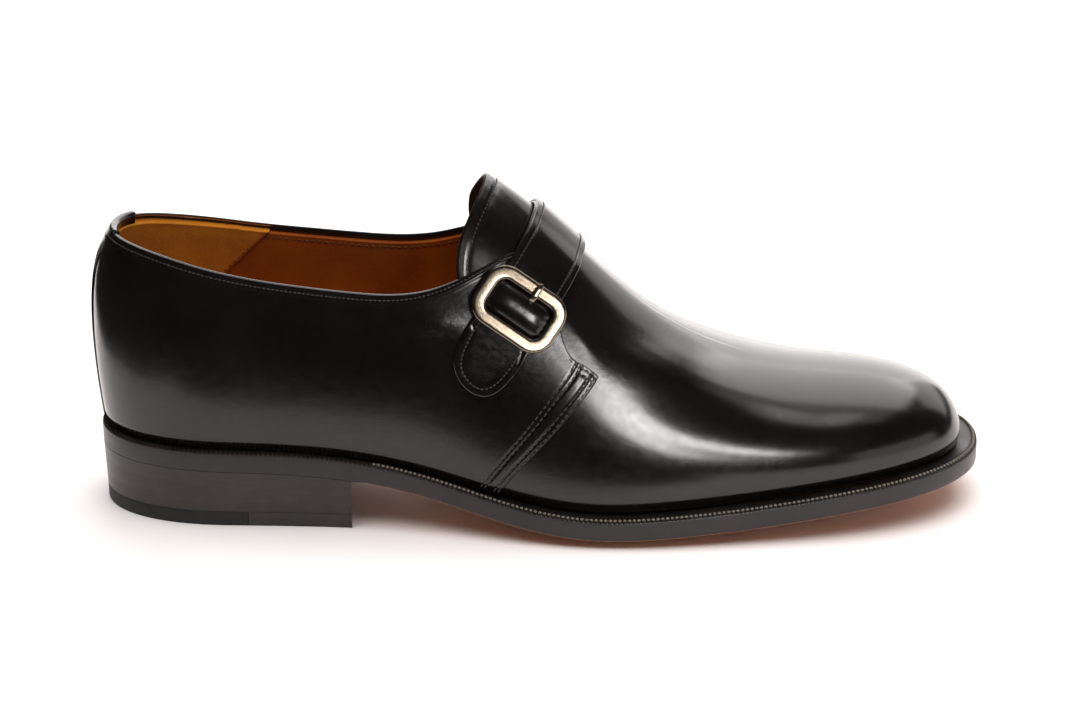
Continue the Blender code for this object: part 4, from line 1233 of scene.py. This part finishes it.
def make_plate(name, node, slot, materials, levels, end_along, angle, **options):
    """A closed plate: its underside and top are grids, and its wall runs through the levels between."""
    grids = plate_levels(levels, end_along, **options)
    bottom, top = grid_object(grids[0], weld=False), grid_object(grids[-1], weld=False)
    wall = grid_object(np.array([rim(grid) for grid in grids]), weld=False)
    counts = [len(o.data.polygons) for o in (bottom, top, wall)]
    bpy.ops.object.select_all(action="DESELECT")
    for obj in (bottom, top, wall):
        obj.select_set(True)
    bpy.context.view_layer.objects.active = bottom
    bpy.ops.object.join()
    index = np.repeat([0, 1, 1], counts)
    lowest = rim(grids[0])[:-1, 0]
    index[counts[0] + counts[1] :][: len(lowest)] = lowest < BREAST_X + 4.0
    for material in materials:
        bottom.data.materials.append(material)
    index = np.minimum(index, len(materials) - 1).astype(np.int32)
    bottom.data.polygons.foreach_set("material_index", index)
    join_seams(bottom)
    finish_piece(bottom, name, [], [node], angle)


def make_sole():
    """The insole board, the outsole with its inked edge, and the stacked heel with its last lift."""
    wall, board = SHELL_WALL + GAP + 0.1, SECTION["feather_z"]
    make_plate("sock_insole", "insole", "lining_leather", [SOCK], (
        (inset(WELT_INSET + GAP), lambda x, _: outsole_top(x) + GAP),
        (inset(wall + 0.3), lambda x, _: board(x) + GAP),
        (inset(wall), lambda x, _: board(x) + INSOLE_THICK - 0.6),
        (inset(wall + 0.5), lambda x, _: board(x) + INSOLE_THICK),
    ), TOE_TIP, 60)
    make_plate("leather_outsole", "outsole", "sole_leather", [SOLE_UNDER, SOLE_EDGE_INK], (
        (edge_width(0.9, 0.2), tread),
        (edge_width(0.35, 0.1), lambda x, _: outsole_edge_bottom(x) + 0.35),
        (edge_width(0.1, 0.05), lambda x, _: outsole_edge_bottom(x) + 0.8),
        (edge_width(-0.03), lambda x, _: outsole_edge_bottom(x) + 1.8),
        (edge_width(-0.03), lambda x, _: outsole_top(x) + 0.15),
    ), TOE_TIP, 60, columns=200)
    shares = {(0.0, 0.0), (1.0, 0.0), (LIFT_EASE, 0.0), (1.0 - LIFT_EASE, 0.0)}
    for k in range(1, LIFTS):
        shares |= {(k / LIFTS - LIFT_EASE, 0.0), (k / LIFTS, LIFT_GROOVE), (k / LIFTS + LIFT_EASE, 0.0)}
    levels = [
        (edge_width(HEEL_TAPER + (0.1 - HEEL_TAPER) * share + groove), heel_level(share))
        for share, groove in sorted(shares)
    ]
    make_plate("stacked_heel", "heel_stack", "heel_leather", [HEEL], levels, BREAST_X, 50,
               hollow=BREAST_HOLLOW, columns=120, across=31)
    piece = [
        (edge_width(HEEL_TAPER + less), lambda x, _, z=z: np.full(np.shape(x), z))
        for less, z in ((0.5, 0.0), (0.15, 0.4), (0.0, TOP_PIECE_THICK - 0.3), (0.1, TOP_PIECE_THICK + 0.12))
    ]
    make_plate("top_piece_leather", "heel_top_piece", "heel_leather", [HEEL], piece, BREAST_X, 50,
               hollow=BREAST_HOLLOW, start_along=RUBBER_LENGTH + 0.12, columns=50, across=31)
    make_plate("rubber_tip", "heel_rubber_tip", "heel_rubber", [RUBBER], piece, RUBBER_LENGTH, 50,
               columns=90, across=31)


# The heel's lifts, and the grooves between them: half their height as a share of the heel, and depth
LIFTS, LIFT_EASE, LIFT_GROOVE = 3, 0.024, 0.06


def heel_level(share):
    """A height in the heel: level at the bottom lift, following the outsole at the top."""
    def height(x, _):
        low, high = TOP_PIECE_THICK + GAP - 0.1, outsole_edge_bottom(x) - 0.05
        return low + (high - low) * share

    return height


# Camera, light and floor


def aim(obj, target):
    """Turns a camera or a light towards a point."""
    direction = Vector(target) - obj.location
    obj.rotation_euler = direction.to_track_quat("-Z", "Y").to_euler()


CAMERA_AZIMUTH, CAMERA_ELEVATION, CAMERA_DISTANCE = math.radians(1.5), math.radians(20.0), 1.5
CAMERA_TARGET, CAMERA_LENS = (145.0, 0.0, 45.0), 145.5
TARGET_SHIFT = (6.53, 3.44)


def add_camera():
    """A long lens at the photograph's angle."""
    back = Vector((
        math.sin(CAMERA_AZIMUTH) * math.cos(CAMERA_ELEVATION),
        -math.cos(CAMERA_AZIMUTH) * math.cos(CAMERA_ELEVATION),
        math.sin(CAMERA_ELEVATION),
    ))
    right = Vector((math.cos(CAMERA_AZIMUTH), math.sin(CAMERA_AZIMUTH), 0.0))
    up = back.cross(right)
    target = Vector((np.array(CAMERA_TARGET) - MIDDLE) * MM)
    target = target + right * TARGET_SHIFT[0] * MM + up * TARGET_SHIFT[1] * MM
    camera = bpy.data.objects.new("camera", bpy.data.cameras.new("camera"))
    camera.data.lens = CAMERA_LENS
    camera.data.sensor_width = 36.0
    camera.data.clip_start = 0.05
    camera.location = target + back * CAMERA_DISTANCE
    aim(camera, target)
    bpy.context.scene.collection.objects.link(camera)
    bpy.context.scene.camera = camera


def add_softbox(name, place, target, wide, high, radiance):
    """A soft rectangular light of an even radiance, not seen by the camera itself."""
    data = bpy.data.lights.new(name, "AREA")
    data.shape = "RECTANGLE"
    data.size, data.size_y = wide, high
    data.energy = radiance * math.pi * wide * high
    data.color = WARM
    light = bpy.data.objects.new(name, data)
    light.location = place
    light.visible_camera = False
    aim(light, target)
    bpy.context.scene.collection.objects.link(light)
    return light


def add_floor():
    """A wide pale floor."""
    material, tree, shader, place = new_material("pale_paper_floor")
    fibre = add(tree, "TexNoise", {"Vector": place, "Scale": 3.0, "Detail": 2.0})
    plug(tree, shader, {
        "Base Color": add(tree, "ValToRGB", {"Fac": fibre}, ((0.3, "#f8f5f5"), (0.7, "#fbf8f8"))),
        "Roughness": 0.8, "Specular IOR Level": 0.2,
    })
    bpy.ops.mesh.primitive_circle_add(vertices=96, radius=6.0, fill_type="NGON")
    floor = bpy.context.object
    floor.name = "pale_floor"
    floor.data.materials.append(material)


def add_black_flag():
    """Black cards round the heel, which the leather mirrors and the camera doesn't see."""
    material, tree, shader, _ = new_material("black_card")
    plug(tree, shader, {"Base Color": linear("#050505"), "Roughness": 0.9})
    top = np.array(FLAG_LINE)
    flag = grid_object(np.stack([top * (1.0, 1.0, 0.0), top]) / MM + MIDDLE, weld=False)
    flag.name = "black_flag"
    flag.data.materials.append(material)
    flag.visible_camera = flag.visible_diffuse = flag.visible_shadow = False


# Along, across and the height of the cards there, in metres
FLAG_LINE = (
    (-0.29, 0.25, 0.12), (-0.29, -0.045, 0.12), (-0.22, -0.165, 0.12), (-0.03, -0.172, 0.10),
    (0.09, -0.175, 0.06),
)


def add_studio():
    """A dark room with a pale floor, lit from above and behind, with two small key lights at the front."""
    scene = bpy.context.scene
    scene.view_settings.view_transform = "Standard"
    scene.world = bpy.data.worlds.new("studio")
    scene.world.use_nodes = True
    tree = scene.world.node_tree
    seen = add(tree, "LightPath").outputs["Is Camera Ray"]
    strength = add(tree, "MapRange", {"Value": seen, "To Min": 0.03, "To Max": 0.95})
    plug(tree, tree.nodes["Background"], {"Strength": strength, "Color": (1.0, 1.0, 1.0, 1.0)})
    add_floor()
    add_black_flag()
    for softbox in SOFTBOXES:
        # The keys are only mirrored, so that they throw no shadows on the floor
        add_softbox(*softbox).visible_diffuse = not softbox[0].startswith("key")
    add_softbox(*FILL).visible_glossy = False


# The lamps' slightly warm white
WARM = (1.0, 0.965, 0.94)
# Name, place, what it points at, width, height and radiance
SOFTBOXES = (
    ("overhead", (0.18, 1.03, 1.00), (0.18, 0.83, 0.0), 1.36, 1.15, 2.6),
    ("backdrop_right", (0.84, 1.11, 0.56), (0.03, 0.0, 0.08), 0.68, 0.65, 1.2),
    ("overhead_front", (0.10, 0.20, 1.00), (0.10, 0.20, 0.0), 1.20, 0.46, 0.7),
    ("key_top", (0.40, 0.03, 0.98), (0.40, 0.03, 0.0), 0.13, 0.32, 2.2),
    ("backdrop", (0.0, 1.45, 0.42), (0.0, 0.0, 0.25), 1.30, 0.85, 2.3),
    ("key_right", (0.170, -0.413, 0.264), (0.10, 0.0, 0.12), 0.09, 0.075, 24.0),
    ("key_left", (0.112, -0.413, 0.18), (0.06, 0.0, 0.08), 0.095, 0.10, 18.0),
    ("right_card", (0.90, -0.35, 0.15), (0.10, 0.0, 0.08), 1.00, 0.35, 0.9),
)
# Lights the floor from above, and isn't mirrored in the leather
FILL = ("ceiling_fill", (0.0, -0.35, 1.60), (0.0, -0.35, 0.0), 2.60, 2.00, 2.8)


CALF = calf_leather("polished_black_calf", "#0a0807", "#120e0d", 0.21, 0.10, 0.2)
RAW_EDGE = edge_leather("cut_calf_edge", "#3a2d24", "#6e5a4a", 0.6, 0.5)
LINING = lining_leather("orange_tan_lining", "#7a360a", "#9c5012", 0.5, 0.2)
TONGUE_LINING = lining_leather("dark_tongue_lining", "#1c130d", "#33231a", 0.6, 0.2)
GRIP = lining_leather("ochre_suede_lining", "#9a5a14", "#bf7b22", 0.85, 0.6)
SOCK = lining_leather("tan_sock", "#8a5a2a", "#b27d45", 0.7, 0.25)
WELT = edge_leather("black_welt_leather", "#0f0d0c", "#231e1b", 0.45, 0.6)
SOLE_EDGE_INK = edge_leather("inked_sole_edge", "#171211", "#29211f", 0.36, 0.5)
SOLE_UNDER = lining_leather("tan_sole_leather", "#9c654a", "#c08a66", 0.5, 0.15)
HEEL = edge_leather("waxed_heel_lifts", "#201917", "#352b27", 0.36, 0.5)
RUBBER = heel_rubber("black_heel_rubber")
NICKEL = satin_nickel("antique_satin_nickel")
THREAD = waxed_thread("black_waxed_thread", "#171413", "#453d38")
WELT_THREAD = waxed_thread("grey_welt_thread", "#4a433d", "#81776c")
TAN_THREAD = waxed_thread("brown_lining_thread", "#3c1f0c", "#6a3f1b")

tongue_rows = make_vamp()
lining_rows = make_linings()
upper_rows, fine_rows = make_quarter("quarter_outside", "quarter_lateral", LATERAL)
inner_rows, inner_fine_rows = make_quarter("quarter_inside", "quarter_medial", MEDIAL)
make_collar_roll()
make_back_strip()
fine_rows = fine_rows + inner_fine_rows + make_strap()
make_buckle()
welt_rows = make_welt()
make_sole()
# Pitch, length and thickness of the stitches
make_stitches("quarter_stitches", upper_rows + inner_rows, THREAD, 2.2, 1.7, 0.6)
make_stitches("collar_and_strap_stitches", fine_rows, THREAD, 1.5, 1.2, 0.55)
make_stitches("tongue_stitches", tongue_rows, THREAD, 1.6, 1.1, 0.55)
make_stitches("welt_stitches", welt_rows, WELT_THREAD, RIB_PITCH, 1.3, 1.1)
make_stitches("lining_stitches", lining_rows, TAN_THREAD, 2.3, 1.7, 0.6)
add_camera()
add_studio()
